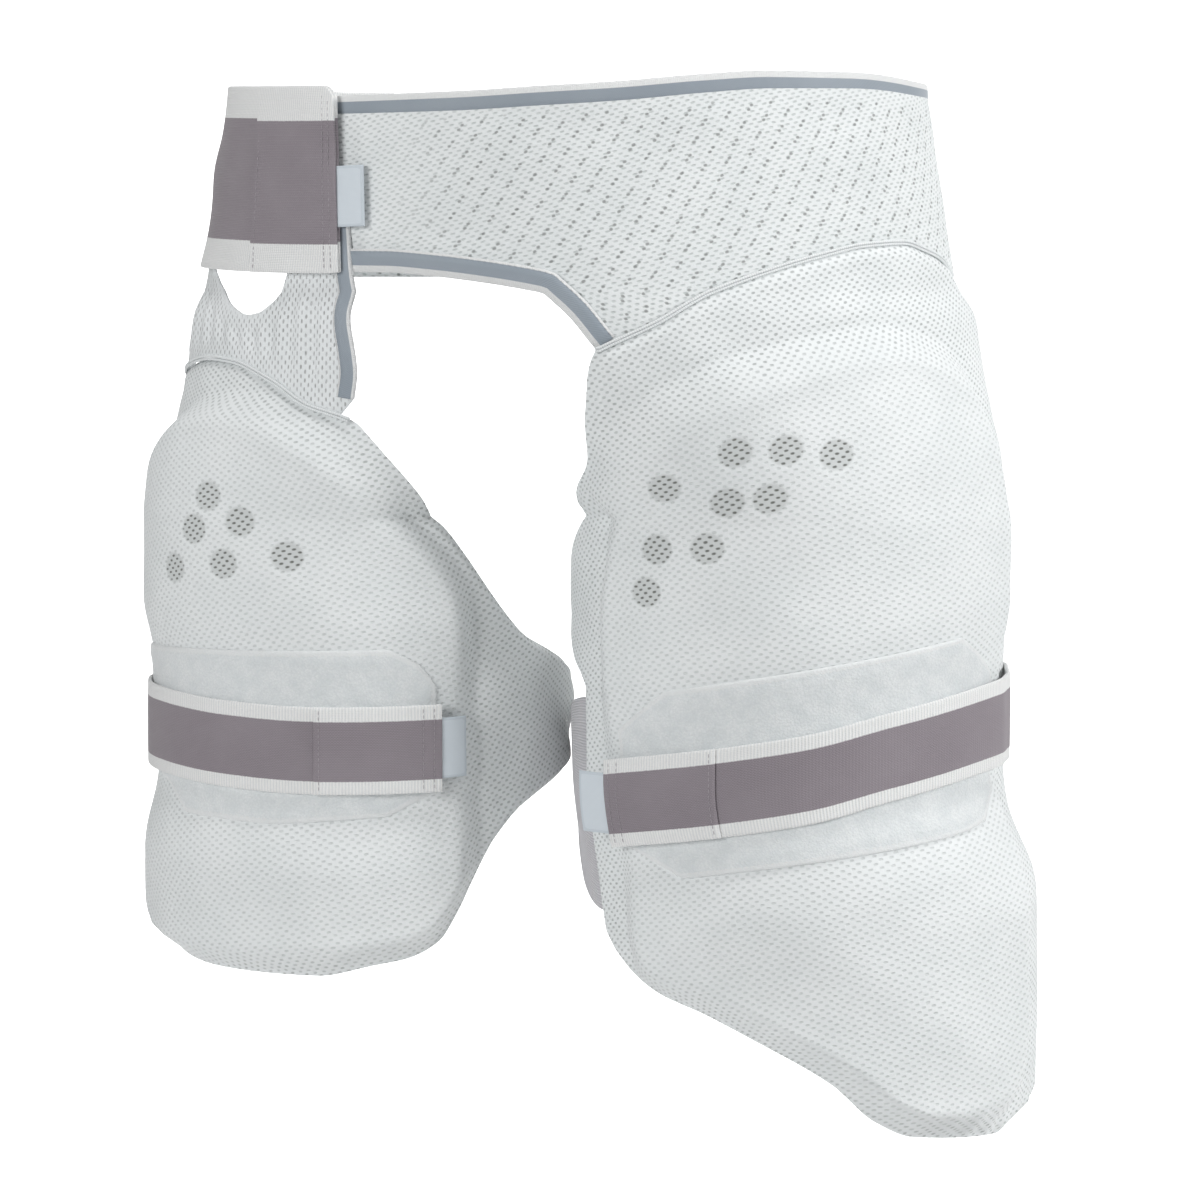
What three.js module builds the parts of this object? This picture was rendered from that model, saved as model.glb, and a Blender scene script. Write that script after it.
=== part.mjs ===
// A cricket thigh guard set in its worn form: a mesh waist belt with an elastic closure, a large padded
// guard on the wearer's left thigh and a smaller one on the right, each held by an elastic leg strap.
// Millimetres, +Z up, -Y is the front, +X the wearer's left. The origin is the middle of the waist.
import * as THREE from "three";

// Directions round the body are turns in degrees: 0 is the front, +90 the wearer's left, -90 the right.

// Body that the set is worn on
const hipHalfWidth = 163;
const hipHalfDepth = 114;
const hipFlare = 0.155; // gain in half width per millimetre down
const hipEnd = 50; // depth below the origin where the thighs begin to part
const hipToThigh = 100;
const leftThighHalfWidth = 92.5;
const rightThighHalfWidth = 89;
const betweenThighs = 14.5;
const thighSpacing = (leftThighHalfWidth + rightThighHalfWidth + betweenThighs) / 2;
const thighHalfDepth = 86;
const thighSetBack = -10;
const lowerFlare = 11; // how far the outer thigh swings out below the leg strap
const lowerFlareTop = 266;
const lowerFlareDrop = 62;

// Cloth thicknesses and the clearance between layers
const gap = 0.4;
const softGap = 0.9; // over a padded face
const beltThickness = 2.5;
const yokeThickness = 1.6;
const bindingThickness = 0.7;
const bindingWidth = 9.5; // on the belt
const yokeBindingWidth = 6.4;
const elasticThickness = 2;
const foldThickness = 1.6;
const patchThickness = 1.5;
const tabThickness = 0.8;
const pipingRadius = 1.3;

// Waist belt and its elastic
const beltHeight = 83;
const beltTop = 39;
const beltFrontEnd = -62;
const beltBackEnd = 235;
const elasticHeight = 83;
const elasticFrontEnd = -31;
const elasticFold = 20; // degrees of the elastic that are folded double at its front end
const elasticBackLap = 12;
const elasticRise = 3; // how far the elastic climbs from its front end to the side
const elasticRiseReach = 60; // degrees in which it does so
const elasticLean = 4.2; // degrees that its front end leans back, from bottom to top
const elasticDrop = 0.3; // depth of its middle below the origin at the front end

// Yoke from the belt to the inner guard
const yokeTop = -12;
const yokeLeft = -88;
const yokeRight = -29;

// Main guard
const mainTop = -28;
const mainHeight = 397;
const mainFlange = 6;
const mainDome = 17;
const mainSlope = 17;
const mainCrown = 2.5;

// Inner guard
const innerTop = -80;
const innerHeight = 276;
const innerLeft = -95;
const innerRight = 125;
const innerFlange = 4.5;
const innerDome = 15;
const innerSlope = 15;
const innerCrown = 2;

// Shared by both guards
const guardRim = 2.6;
const rimFlat = 1.5; // width of the sewn edge before the padding rises
const rimSteepness = 1.4;
const crownReach = 45;

// Leg straps, loop patches and tabs
const strapHeight = 39;
const strapBite = 6; // how far a tight strap presses the padding in
const strapBiteReach = 1.5; // strap heights from its middle to where the padding is free again
const strapFold = 32; // degrees of each strap that are folded double at its end
const tabHeight = 27;
const tabWidth = 14;

const colours = {
  mesh: [0xe8e8e6, 0.85],
  binding: [0x98a2ac, 0.6],
  elastic: [0xb4abb2, 0.8],
  loop: [0xd6dbde, 1],
  label: [0xd4dde4, 0.7],
  gusset: [0xa9a6ad, 0.8],
};

const rad = THREE.MathUtils.degToRad;
const clamp01 = (x) => THREE.MathUtils.clamp(x, 0, 1);
const mix = THREE.MathUtils.lerp;
const ease = (x) => clamp01(x) ** 2 * (3 - 2 * clamp01(x));

// A smooth curve through a table's rows, held level past its ends.
function along(table, x) {
  const last = table.length - 1;
  if (x <= table[0][0]) return table[0][1];
  if (x >= table[last][0]) return table[last][1];
  const slope = (i) => {
    if (i <= 0 || i >= last) return 0;
    const before = (table[i][1] - table[i - 1][1]) / (table[i][0] - table[i - 1][0]);
    const after = (table[i + 1][1] - table[i][1]) / (table[i + 1][0] - table[i][0]);
    return before * after <= 0 ? 0 : (2 * before * after) / (before + after);
  };
  let i = 0;
  while (table[i + 1][0] < x) i += 1;
  const span = table[i + 1][0] - table[i][0];
  const t = (x - table[i][0]) / span;
  const rise = table[i + 1][1] - table[i][1];
  const entry = i === 0 ? rise / span : slope(i);
  const exit = i + 1 === last ? rise / span : slope(i + 1);
  const bend = entry * span * t * (1 - t) ** 2 - exit * span * t * t * (1 - t);
  return table[i][1] + rise * t * t * (3 - 2 * t) + bend;
}

// How the hips part into a thigh. Rows: share of hipToThigh down, share of the way to the thigh.
const thighShift = [[0, 0], [0.1, 0.08], [0.25, 0.17], [0.5, 0.46], [0.75, 0.77], [1, 1]];
const thighTaper = [[0, 0], [0.1, 0.04], [0.25, 0.12], [0.5, 0.42], [0.75, 0.74], [1, 1]];

// The body's level section on one side: +1 the wearer's left thigh, -1 the right.
function section(side, z) {
  const down = -z;
  const hipWidth = hipHalfWidth + hipFlare * Math.min(down, hipEnd);
  const hipDepth = hipHalfDepth * (hipWidth / hipHalfWidth);
  const share = (down - hipEnd) / hipToThigh;
  const shift = along(thighShift, share);
  const taper = along(thighTaper, share);
  const flare = side > 0 ? lowerFlare * ease((down - lowerFlareTop) / lowerFlareDrop) : 0;
  return {
    x: side * thighSpacing * shift + flare,
    y: thighSetBack * shift,
    halfWidth: mix(hipWidth, side > 0 ? leftThighHalfWidth : rightThighHalfWidth, taper) + flare / 2,
    halfDepth: mix(hipDepth, thighHalfDepth, taper),
  };
}

// The point that lies `off` outside the body at a turn and a height.
function onBody(side, turn, z, off) {
  const { x, y, halfWidth, halfDepth } = section(side, z);
  const sin = Math.sin(rad(turn));
  const cos = Math.cos(rad(turn));
  const normal = new THREE.Vector2(sin / halfWidth, -cos / halfDepth).normalize();
  return new THREE.Vector3(
    x + halfWidth * sin + off * normal.x,
    y - halfDepth * cos + off * normal.y,
    z,
  );
}

// A closed solid between an inner and an outer sheet. place(u, v, layer) gives a point, with u to the
// wearer's left, v down and layer 0 inside or 1 outside.
function layered(columns, rows, place) {
  const points = [];
  const at = (i, j, layer) => (layer * (columns + 1) + i) * (rows + 1) + j;
  for (const layer of [0, 1]) {
    for (let i = 0; i <= columns; i += 1) {
      for (let j = 0; j <= rows; j += 1) points.push(place(i / columns, j / rows, layer));
    }
  }
  const index = [];
  const quad = (a, b, c, d) => index.push(a, b, c, a, c, d);
  for (let i = 0; i < columns; i += 1) {
    for (let j = 0; j < rows; j += 1) {
      quad(at(i, j, 1), at(i, j + 1, 1), at(i + 1, j + 1, 1), at(i + 1, j, 1));
      quad(at(i, j, 0), at(i + 1, j, 0), at(i + 1, j + 1, 0), at(i, j + 1, 0));
    }
    quad(at(i, 0, 0), at(i, 0, 1), at(i + 1, 0, 1), at(i + 1, 0, 0));
    quad(at(i, rows, 0), at(i + 1, rows, 0), at(i + 1, rows, 1), at(i, rows, 1));
  }
  for (let j = 0; j < rows; j += 1) {
    quad(at(0, j, 0), at(0, j + 1, 0), at(0, j + 1, 1), at(0, j, 1));
    quad(at(columns, j, 0), at(columns, j, 1), at(columns, j + 1, 1), at(columns, j + 1, 0));
  }
  const geometry = new THREE.BufferGeometry().setFromPoints(points);
  geometry.setIndex(index);
  geometry.computeVertexNormals();
  return geometry;
}

// A flat band along a path of [turn, z] on the body. Its middle follows the path, or lies beside it.
function band(side, path, width, inner, outer, beside = 0) {
  const steps = path.length - 1;
  const reach = (rightThighHalfWidth + hipHalfWidth) / 2;
  const sideways = (i) => {
    const [t0, z0] = path[Math.max(i - 1, 0)];
    const [t1, z1] = path[Math.min(i + 1, steps)];
    return new THREE.Vector2(z0 - z1, rad(t1 - t0) * reach).normalize();
  };
  return layered(steps, 1, (u, v, layer) => {
    const i = Math.round(u * steps);
    const across = sideways(i).multiplyScalar(width * (0.5 - v) + beside);
    const turn = path[i][0] + THREE.MathUtils.radToDeg(across.x / reach);
    return onBody(side, turn, path[i][1] + across.y, layer ? outer : inner);
  });
}

// A round cord along a path of points.
function cord(points, radius) {
  const round = new THREE.Shape().absarc(0, 0, radius, 0, Math.PI * 2);
  return new THREE.ExtrudeGeometry(round, {
    steps: points.length + 5,
    curveSegments: 4,
    bevelEnabled: false,
    extrudePath: new THREE.CatmullRomCurve3(points),
  });
}

const set = new THREE.Group();
function add(name, geometry, [color, roughness]) {
  const material = new THREE.MeshStandardMaterial({ color, roughness, metalness: 0 });
  const mesh = new THREE.Mesh(geometry, material);
  mesh.name = name;
  set.add(mesh);
}

// Seam between the belt and the main guard. Rows: turn, share of mainHeight below mainTop.
const seam = [
  [6, 0.118], [16, 0.091], [25, 0.063], [36, 0.035], [47, 0.015], [57, 0.003],
  [67, 0], [74, 0.008], [82, 0.02], [87, 0.038],
];
const seamFrontTurn = seam[0][0];
const seamBackTurn = seam[seam.length - 1][0];
const mainZ = (share) => mainTop - share * mainHeight;
const seamZ = (turn) => mainZ(along(seam, turn));

// Belt edges. Rows: turn, share of beltHeight above beltTop or above the plain lower edge.
const beltBow = [
  [-60, -0.04], [-33, -0.036], [-12, -0.024], [2, 0], [15, 0.024], [28, 0.06], [41, 0.083],
  [58, 0.083], [85, 0.048], [120, 0.036], [235, 0.02],
];
const beltDip = [
  [-60, 0.05], [-22, 0.043], [-13.4, 0.021], [-5.8, -0.011], [1.4, -0.053], [3.5, -0.072],
  [4.3, -0.152], [5.1, -0.245], [6, -0.36],
];
const beltTopZ = (turn) => beltTop + beltHeight * along(beltBow, turn);
const beltPlainBottom = beltTop - beltHeight;
function beltBottomZ(turn) {
  if (turn < seamFrontTurn) return beltPlainBottom + beltHeight * along(beltDip, turn);
  return turn > seamBackTurn ? beltPlainBottom : seamZ(turn);
}

// Waist belt: it runs from under the elastic's front end round the left side to the right of the back.
const seamTurnStep = 5;
const plainTurnStep = 8;
const beltTurns = [beltFrontEnd, -48, -36, -29, -22, -14, -6, 1, 3.5, 4.6];
for (let turn = seamFrontTurn; turn < seamBackTurn; turn += seamTurnStep) beltTurns.push(turn);
for (let turn = seamBackTurn; turn < beltBackEnd; turn += plainTurnStep) beltTurns.push(turn);
beltTurns.push(beltBackEnd);
add(
  "waist_belt",
  layered(beltTurns.length - 1, 3, (u, v, layer) => {
    const turn = beltTurns[Math.round(u * (beltTurns.length - 1))];
    const z = mix(beltTopZ(turn), beltBottomZ(turn) + gap, v);
    return onBody(1, turn, z, layer * beltThickness);
  }),
  colours.mesh,
);

// Grey bindings on the belt's top edge and on its free lower edge.
const onBelt = beltThickness + gap;
const topEdge = beltTurns.map((turn) => [turn, beltTopZ(turn)]);
const bindingOut = onBelt + bindingThickness;
add(
  "belt_top_binding",
  band(1, topEdge, bindingWidth, onBelt, bindingOut, -bindingWidth / 2),
  colours.binding,
);
const lowerBindingStart = -26;
const lowerEdge = [lowerBindingStart, -20, -13, -6, 1, 3.5, 4.3, 5.4].map((turn) => [
  turn,
  beltBottomZ(turn),
]);
add(
  "belt_lower_binding",
  band(1, lowerEdge, bindingWidth, onBelt, bindingOut, bindingWidth / 2),
  colours.binding,
);

// Routes of the leg straps, each from its folded end round the thigh to its root.
// Rows: turn, share of the guard's height down to the strap's middle.
const mainStrapEnd = -39;
const mainStrapRoot = 270;
const mainStrapRoute = [
  [mainStrapEnd, 0.625], [-4, 0.602], [15, 0.587], [35, 0.564], [67, 0.539], [104, 0.529],
  [180, 0.55], [mainStrapRoot, 0.597],
];
const innerStrapEnd = 32.5;
const innerStrapLap = 8; // degrees of the strap that lie over the wing's end
const innerStrapRoot = innerRight - 360 - innerStrapLap;
const innerStrapRoute = [
  [innerStrapRoot, 0.605], [-90, 0.605], [-54, 0.611], [-25, 0.622], [0, 0.628], [innerStrapEnd, 0.625],
];

// Guard surfaces
// Distance from a closed outline of [turn, z], in millimetres on the thigh, positive inside it.
function insideBy(outline, turn, z) {
  const scale = rad(1) * rightThighHalfWidth;
  const px = turn * scale;
  let inside = false;
  let nearest = Infinity;
  outline.forEach(([t1, z1], i) => {
    const [t0, z0] = outline[(i + outline.length - 1) % outline.length];
    const ax = t0 * scale;
    const bx = t1 * scale;
    if (z0 > z !== z1 > z && px < ax + ((z - z0) / (z1 - z0)) * (bx - ax)) inside = !inside;
    const length = (bx - ax) ** 2 + (z1 - z0) ** 2;
    const t = clamp01(((px - ax) * (bx - ax) + (z - z0) * (z1 - z0)) / length);
    nearest = Math.min(nearest, Math.hypot(px - mix(ax, bx, t), z - mix(z0, z1, t)));
  });
  return inside ? nearest : -nearest;
}

// Smooth closed outline through hand-placed corners [turn, share of a guard's height].
function smoothOutline(corners, toZ) {
  const knots = corners.map(([turn, share]) => new THREE.Vector3(turn, toZ(share), 0));
  const curve = new THREE.CatmullRomCurve3(knots, true, "centripetal");
  return curve.getPoints(corners.length * 4).slice(0, -1).map((p) => [p.x, p.y]);
}

// Height of a guard's face above the thigh: a thin rim, a flange, a slope and a crowned dome, pressed
// in where the leg strap crosses it.
function guardFace(outline, domeOutline, size, turn, z) {
  const fromEdge = Math.max(insideBy(outline, turn, z), 0);
  const fromDome = insideBy(domeOutline, turn, z);
  const climb = ease(1 + fromDome / size.slope);
  const crown = size.crown * ease(fromDome / crownReach);
  const fromStrap = Math.abs(z - size.strapZ(turn)) / strapHeight;
  const pressed = strapBite * climb * ease(strapBiteReach - fromStrap);
  const full = size.flange + (size.dome - size.flange) * climb + crown - pressed;
  return Math.min(full, guardRim + rimSteepness * Math.max(fromEdge - rimFlat, 0));
}

// Main guard outline. Rows: share of mainHeight down, turn.
const mainInnerEdge = [
  [0.118, 5.5], [0.146, 0], [0.179, -7.5], [0.213, -17], [0.247, -29], [0.283, -46], [0.3, -68],
  [0.318, -84], [0.363, -88], [0.423, -86], [0.474, -75], [0.504, -66], [0.735, -65], [0.778, -60],
];
const mainOuterEdge = [[0.038, 87], [0.08, 96], [0.206, 106], [0.66, 104], [0.81, 101], [0.95, 96]];
// Rows: share of the way along the lower edge, share of mainHeight down.
const mainLowerEdge = [
  [0, 0.782], [0.046, 0.808], [0.138, 0.838], [0.237, 0.857], [0.342, 0.887], [0.46, 0.93],
  [0.533, 0.972], [0.605, 0.992], [0.8, 1], [0.85, 0.99], [0.95, 0.977], [1, 0.95],
];
// Edge of the dome's top. Rows: turn, share of mainHeight down.
const mainDomeCorners = [
  [-38, 0.44], [-36, 0.36], [-32, 0.307], [-14, 0.259], [3, 0.222], [14, 0.194], [33, 0.156],
  [53, 0.131], [62, 0.141], [69, 0.169], [72, 0.22], [75, 0.4], [73, 0.56], [69, 0.68],
  [66, 0.78], [66, 0.9], [60, 0.945], [45, 0.962], [28, 0.95], [9, 0.882], [-3, 0.849],
  [-17, 0.819], [-29, 0.806], [-33, 0.78], [-34, 0.73], [-36, 0.6],
];
const mainFirst = mainInnerEdge[0][0];
const mainLast = mainInnerEdge[mainInnerEdge.length - 1][0];
const outerFirst = mainOuterEdge[0][0];
const outerLast = mainOuterEdge[mainOuterEdge.length - 1][0];
function mainSpot(u, v) {
  const left = along(mainInnerEdge, mix(mainFirst, mainLast, v));
  const right = along(mainOuterEdge, mix(outerFirst, outerLast, v));
  const top = seamZ(mix(seamFrontTurn, seamBackTurn, u)) - gap;
  return [mix(left, right, u), mix(top, mainZ(along(mainLowerEdge, u)), v)];
}
const ring = 24;
const edgeSpots = (spot) => {
  const spots = [];
  for (let i = 0; i < ring; i += 1) spots.push(spot(i / ring, 0));
  for (let i = 0; i < ring; i += 1) spots.push(spot(1, i / ring));
  for (let i = ring; i > 0; i -= 1) spots.push(spot(i / ring, 1));
  for (let i = ring; i > 0; i -= 1) spots.push(spot(0, i / ring));
  return spots;
};
const mainOutline = edgeSpots(mainSpot);
const mainDomeOutline = smoothOutline(mainDomeCorners, mainZ);
const mainSize = {
  flange: mainFlange,
  dome: mainDome,
  slope: mainSlope,
  crown: mainCrown,
  strapZ: (turn) => mainZ(along(mainStrapRoute, turn)),
};
const mainFace = (turn, z) => guardFace(mainOutline, mainDomeOutline, mainSize, turn, z);

// Inner guard. Rows: turn, share of innerHeight down, for its top seam, free edge and wing, then below.
const innerZ = (share) => innerTop - share * innerHeight;
const innerUpperEdge = [
  [innerLeft, 0.045], [-78, 0.022], [-57, 0], [-49, 0.004], [-36, 0.033], [-24, 0.072], [-12, 0.096],
  [-4, 0.125], [3, 0.151], [13, 0.187], [27, 0.236], [35, 0.266], [43, 0.319], [48, 0.356],
  [56, 0.409], [65, 0.453], [72, 0.469], [89, 0.499], [105, 0.52], [innerRight, 0.535],
];
const innerLowerEdge = [
  [innerLeft, 0.87], [-86, 0.92], [-74, 0.95], [-63, 0.98], [-35, 0.997], [-1, 1], [15, 0.982],
  [25, 0.971], [34, 0.946], [40, 0.899], [46, 0.837], [52, 0.786], [64, 0.732], [85, 0.696],
  [105, 0.68], [innerRight, 0.675],
];
const innerDomeCorners = [
  [-78, 0.34], [-72, 0.22], [-62, 0.14], [-49, 0.105], [-35, 0.105], [-17, 0.149], [3, 0.214], [20, 0.29],
  [30, 0.345], [35, 0.4], [37, 0.6], [37, 0.8], [34, 0.89], [27, 0.925], [13, 0.94],
  [-6, 0.95], [-52, 0.948], [-68, 0.935], [-75, 0.88], [-74, 0.6],
];
function innerSpot(u, v) {
  const turn = mix(innerLeft, innerRight, u);
  return [turn, mix(innerZ(along(innerUpperEdge, turn)), innerZ(along(innerLowerEdge, turn)), v)];
}
const innerOutline = edgeSpots(innerSpot);
const innerDomeOutline = smoothOutline(innerDomeCorners, innerZ);
const innerSize = {
  flange: innerFlange,
  dome: innerDome,
  slope: innerSlope,
  crown: innerCrown,
  strapZ: (turn) => innerZ(along(innerStrapRoute, turn)),
};
const innerFace = (turn, z) => guardFace(innerOutline, innerDomeOutline, innerSize, turn, z);

// A padded guard, or an upright strip of one between two shares of its width: its back lies on the
// thigh and its face follows the height given.
const guard = (side, [start, end], columns, rows, spot, face) =>
  layered(columns, rows, (u, v, layer) => {
    const [turn, z] = spot(mix(start, end, u), v);
    return onBody(side, turn, z, layer ? face(turn, z) : 0);
  });
const wingShare = 0.115; // share of the main guard's width in the flange on either side of its dome
const wingGap = 0.0025; // share of a guard's width
const mainRows = 28;
add(
  "main_guard_inner_wing",
  guard(1, [0, wingShare], 3, mainRows, mainSpot, mainFace),
  colours.mesh,
);
add(
  "main_guard",
  guard(1, [wingShare + wingGap, 1 - wingShare - wingGap], 20, mainRows, mainSpot, mainFace),
  colours.mesh,
);
add(
  "main_guard_outer_wing",
  guard(1, [1 - wingShare, 1], 3, mainRows, mainSpot, mainFace),
  colours.mesh,
);
const innerCrease = 46; // turn of the crease where the inner guard's wing starts
const innerWingStart = (innerCrease - innerLeft) / (innerRight - innerLeft);
const innerRows = 17;
add(
  "inner_guard",
  guard(-1, [0, innerWingStart - wingGap], 20, innerRows, innerSpot, innerFace),
  colours.mesh,
);
add(
  "inner_guard_wing",
  guard(-1, [innerWingStart, 1], 11, innerRows, innerSpot, innerFace),
  colours.mesh,
);

// Piping over each guard's top seam.
const pipingOff = guardRim + gap + pipingRadius;
const pipingStep = 4;
const seamPoints = [];
for (let turn = seamFrontTurn; turn < seamBackTurn; turn += pipingStep) {
  seamPoints.push(onBody(1, turn, seamZ(turn), pipingOff));
}
add("main_piping", cord(seamPoints, pipingRadius), colours.mesh);

// Yoke: limp mesh that climbs from the inner guard, over the belt, to a U-shaped notch behind the elastic.
const yokeFootTurn = -12;
const yokeFoot = (turn) => innerZ(along(innerUpperEdge, turn)) + gap;
// Rows: turn, depth below yokeTop as a share of the yoke's drop there.
const yokeDrop = yokeTop - innerTop;
const yokeHead = [
  [yokeLeft, 0], [-72.5, 0], [-70.5, 0.36], [-65.7, 0.465], [-59, 0.585], [-53, 0.67],
  [-48, 0.71], [-45, 0.695], [-42.6, 0.62], [-41.6, 0.51], [-41, 0.4], [-39.8, 0],
  [yokeRight - 1, 0], [yokeRight, 0.15], [-27.6, 0.446], [-25.2, 0.71], [-22.5, 0.907],
  [-18.3, 1.106], [-14.5, 1.28], [yokeFootTurn, 1.36],
];
const yokeHeadZ = (turn) => yokeTop - yokeDrop * along(yokeHead, turn);
const yokeTurns = [
  yokeLeft, -80, -72.5, -71.5, -70.5, -65.7, -59, -53, -48, -45, -42.6, -41.6, -41, -40.4, -39.8,
  -35, yokeRight - 1, yokeRight, -27.6, -25.2, -22.5, -20.5, -18.3, -15,
];
const yokeIn = beltThickness + gap;
const yokeOut = yokeIn + yokeThickness;
add(
  "yoke",
  layered(yokeTurns.length - 1, 6, (u, v, layer) => {
    const turn = yokeTurns[Math.round(u * (yokeTurns.length - 1))];
    return onBody(-1, turn, mix(yokeHeadZ(turn), yokeFoot(turn), v), layer ? yokeOut : yokeIn);
  }),
  colours.mesh,
);
const yokeEdge = [yokeRight - 0.5, yokeRight, -27.6, -25.2, -22.5, -20.5, -18.3, -15].map((turn) => [
  turn,
  yokeHeadZ(turn),
]);
add(
  "yoke_binding",
  band(
    -1,
    yokeEdge,
    yokeBindingWidth,
    yokeOut + gap,
    yokeOut + gap + bindingThickness,
    -yokeBindingWidth / 2,
  ),
  colours.binding,
);
const innerSeamPoints = [];
for (let turn = yokeLeft; turn <= yokeFootTurn; turn += pipingStep) {
  const out = yokeOut + gap + pipingRadius;
  innerSeamPoints.push(onBody(-1, turn, yokeFoot(turn) - gap / 2, out));
}
add("inner_piping", cord(innerSeamPoints, pipingRadius), colours.mesh);

// Waist elastic: sewn over the belt's back end, it comes round the right side and closes on the front.
const elasticBackEnd = beltBackEnd - 360 - elasticBackLap;
const elasticIn = yokeOut + 2 * gap + bindingThickness;
const elasticOut = elasticIn + elasticThickness;
const elasticMiddle = (turn) =>
  elasticRise * ease((elasticFrontEnd - turn) / elasticRiseReach) - elasticDrop;
const leaning = (v) => elasticLean * (v - 0.5);
// A length of the elastic, whose start leans as its end does where startLean is 1.
function elasticPiece(start, end, startLean, steps, inner, outer) {
  return layered(steps, 3, (u, v, layer) => {
    const turn = mix(start + startLean * leaning(v), end + leaning(v), u);
    const z = elasticMiddle(turn) + elasticHeight * (0.5 - v);
    return onBody(1, turn, z, layer ? outer : inner);
  });
}
add(
  "waist_elastic",
  elasticPiece(elasticBackEnd, elasticFrontEnd, 0, 24, elasticIn, elasticOut),
  colours.elastic,
);
add(
  "waist_elastic_fold",
  elasticPiece(
    elasticFrontEnd - elasticFold,
    elasticFrontEnd,
    1,
    5,
    elasticOut + gap,
    elasticOut + gap + foldThickness,
  ),
  colours.elastic,
);

// Loop patches on the guards' faces. Rows: turn, shares of the guard's height down to its upper and
// lower edge. The corners are cut off.
const mainPatch = [
  [-36, 0.542, 0.672], [-20, 0.494, 0.702], [54, 0.436, 0.652], [62, 0.455, 0.643], [70, 0.479, 0.612],
];
const innerPatch = [
  [-76, 0.51, 0.66], [-66, 0.475, 0.675], [-50, 0.473, 0.7], [-40, 0.471, 0.743], [-11, 0.468, 0.75],
  [19, 0.464, 0.735], [27, 0.489, 0.71], [32, 0.525, 0.7],
];
const patchStep = 4.5;
function straight(rows, turn, column) {
  const i = Math.max(rows.findIndex((row) => row[0] >= turn), 1);
  const t = (turn - rows[i - 1][0]) / (rows[i][0] - rows[i - 1][0]);
  return mix(rows[i - 1][column], rows[i][column], t);
}
function patch(side, corners, face, toZ) {
  const turns = corners.slice(0, -1).flatMap(([turn], i) => {
    const span = corners[i + 1][0] - turn;
    const count = Math.ceil(span / patchStep);
    return Array.from({ length: count }, (unused, k) => turn + (span * k) / count);
  });
  turns.push(corners[corners.length - 1][0]);
  return layered(turns.length - 1, 5, (u, v, layer) => {
    const turn = turns[Math.round(u * (turns.length - 1))];
    const z = mix(toZ(straight(corners, turn, 1)), toZ(straight(corners, turn, 2)), v);
    return onBody(side, turn, z, face(turn, z) + softGap + layer * patchThickness);
  });
}
add("main_loop_patch", patch(1, mainPatch, mainFace, mainZ), colours.loop);
add("inner_loop_patch", patch(-1, innerPatch, innerFace, innerZ), colours.loop);

// Leg straps. Each bridges the hollows of the guard under it and goes round the back of the thigh.
const bareSkin = 0.6;
const strapWindow = 6;
const strapLook = 2;
const spread = [-0.5, -0.25, 0, 0.25, 0.5];
// Height of what lies under a strap at a turn: the highest within the window, then evened out.
function bridged(turn, height) {
  const highest = (at) => {
    let most = bareSkin;
    for (let d = -strapWindow; d <= strapWindow; d += strapLook) most = Math.max(most, height(at + d));
    return most;
  };
  const nearby = spread.map((share) => highest(turn + share * strapWindow));
  return nearby.reduce((sum, value) => sum + value) / nearby.length;
}
function strapPiece(side, start, end, steps, middle, under, lift, thickness) {
  return layered(steps, 2, (u, v, layer) => {
    const turn = mix(start, end, u);
    const z = middle(turn) + strapHeight * (0.5 - v);
    return onBody(side, turn, z, under(turn) + lift + layer * thickness);
  });
}
// What a guard and its patch raise above the thigh under the strap, or nothing beside them.
const edgeReach = 1;
function raised(face, outline, middle, turn) {
  let most = 0;
  for (const share of spread) {
    const z = middle(turn) + strapHeight * share;
    if (insideBy(outline, turn, z) > -edgeReach) most = Math.max(most, face(turn, z));
  }
  return most;
}
const overPatch = patchThickness + 2 * softGap;
const foldLift = overPatch + elasticThickness + gap;
const mainMiddle = (turn) => mainZ(along(mainStrapRoute, turn));
const gussetTurn = -98;
const gussetSag = 3.4;
const overGusset = bareSkin + gussetSag + elasticThickness + softGap - overPatch;
const underMain = (turn) =>
  bridged(turn, (at) => {
    if (at > 360 + gussetTurn - strapWindow) return overGusset;
    return raised(mainFace, mainOutline, mainMiddle, at);
  });
add(
  "main_strap",
  strapPiece(1, mainStrapEnd, mainStrapRoot, 54, mainMiddle, underMain, overPatch, elasticThickness),
  colours.elastic,
);
add(
  "main_strap_fold",
  strapPiece(1, mainStrapEnd, mainStrapEnd + strapFold, 6, mainMiddle, underMain, foldLift, foldThickness),
  colours.elastic,
);
const innerMiddle = (turn) => innerZ(along(innerStrapRoute, turn));
const underInner = (turn) =>
  bridged(turn, (at) => {
    const around = at < innerLeft ? at + 360 : at;
    if (around > innerRight) return 0;
    return raised(innerFace, innerOutline, innerMiddle, around);
  });
add(
  "inner_strap",
  strapPiece(-1, innerStrapRoot, innerStrapEnd, 48, innerMiddle, underInner, overPatch, elasticThickness),
  colours.elastic,
);
add(
  "inner_strap_fold",
  strapPiece(
    -1,
    innerStrapEnd - strapFold,
    innerStrapEnd,
    6,
    innerMiddle,
    underInner,
    foldLift,
    foldThickness,
  ),
  colours.elastic,
);

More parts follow.
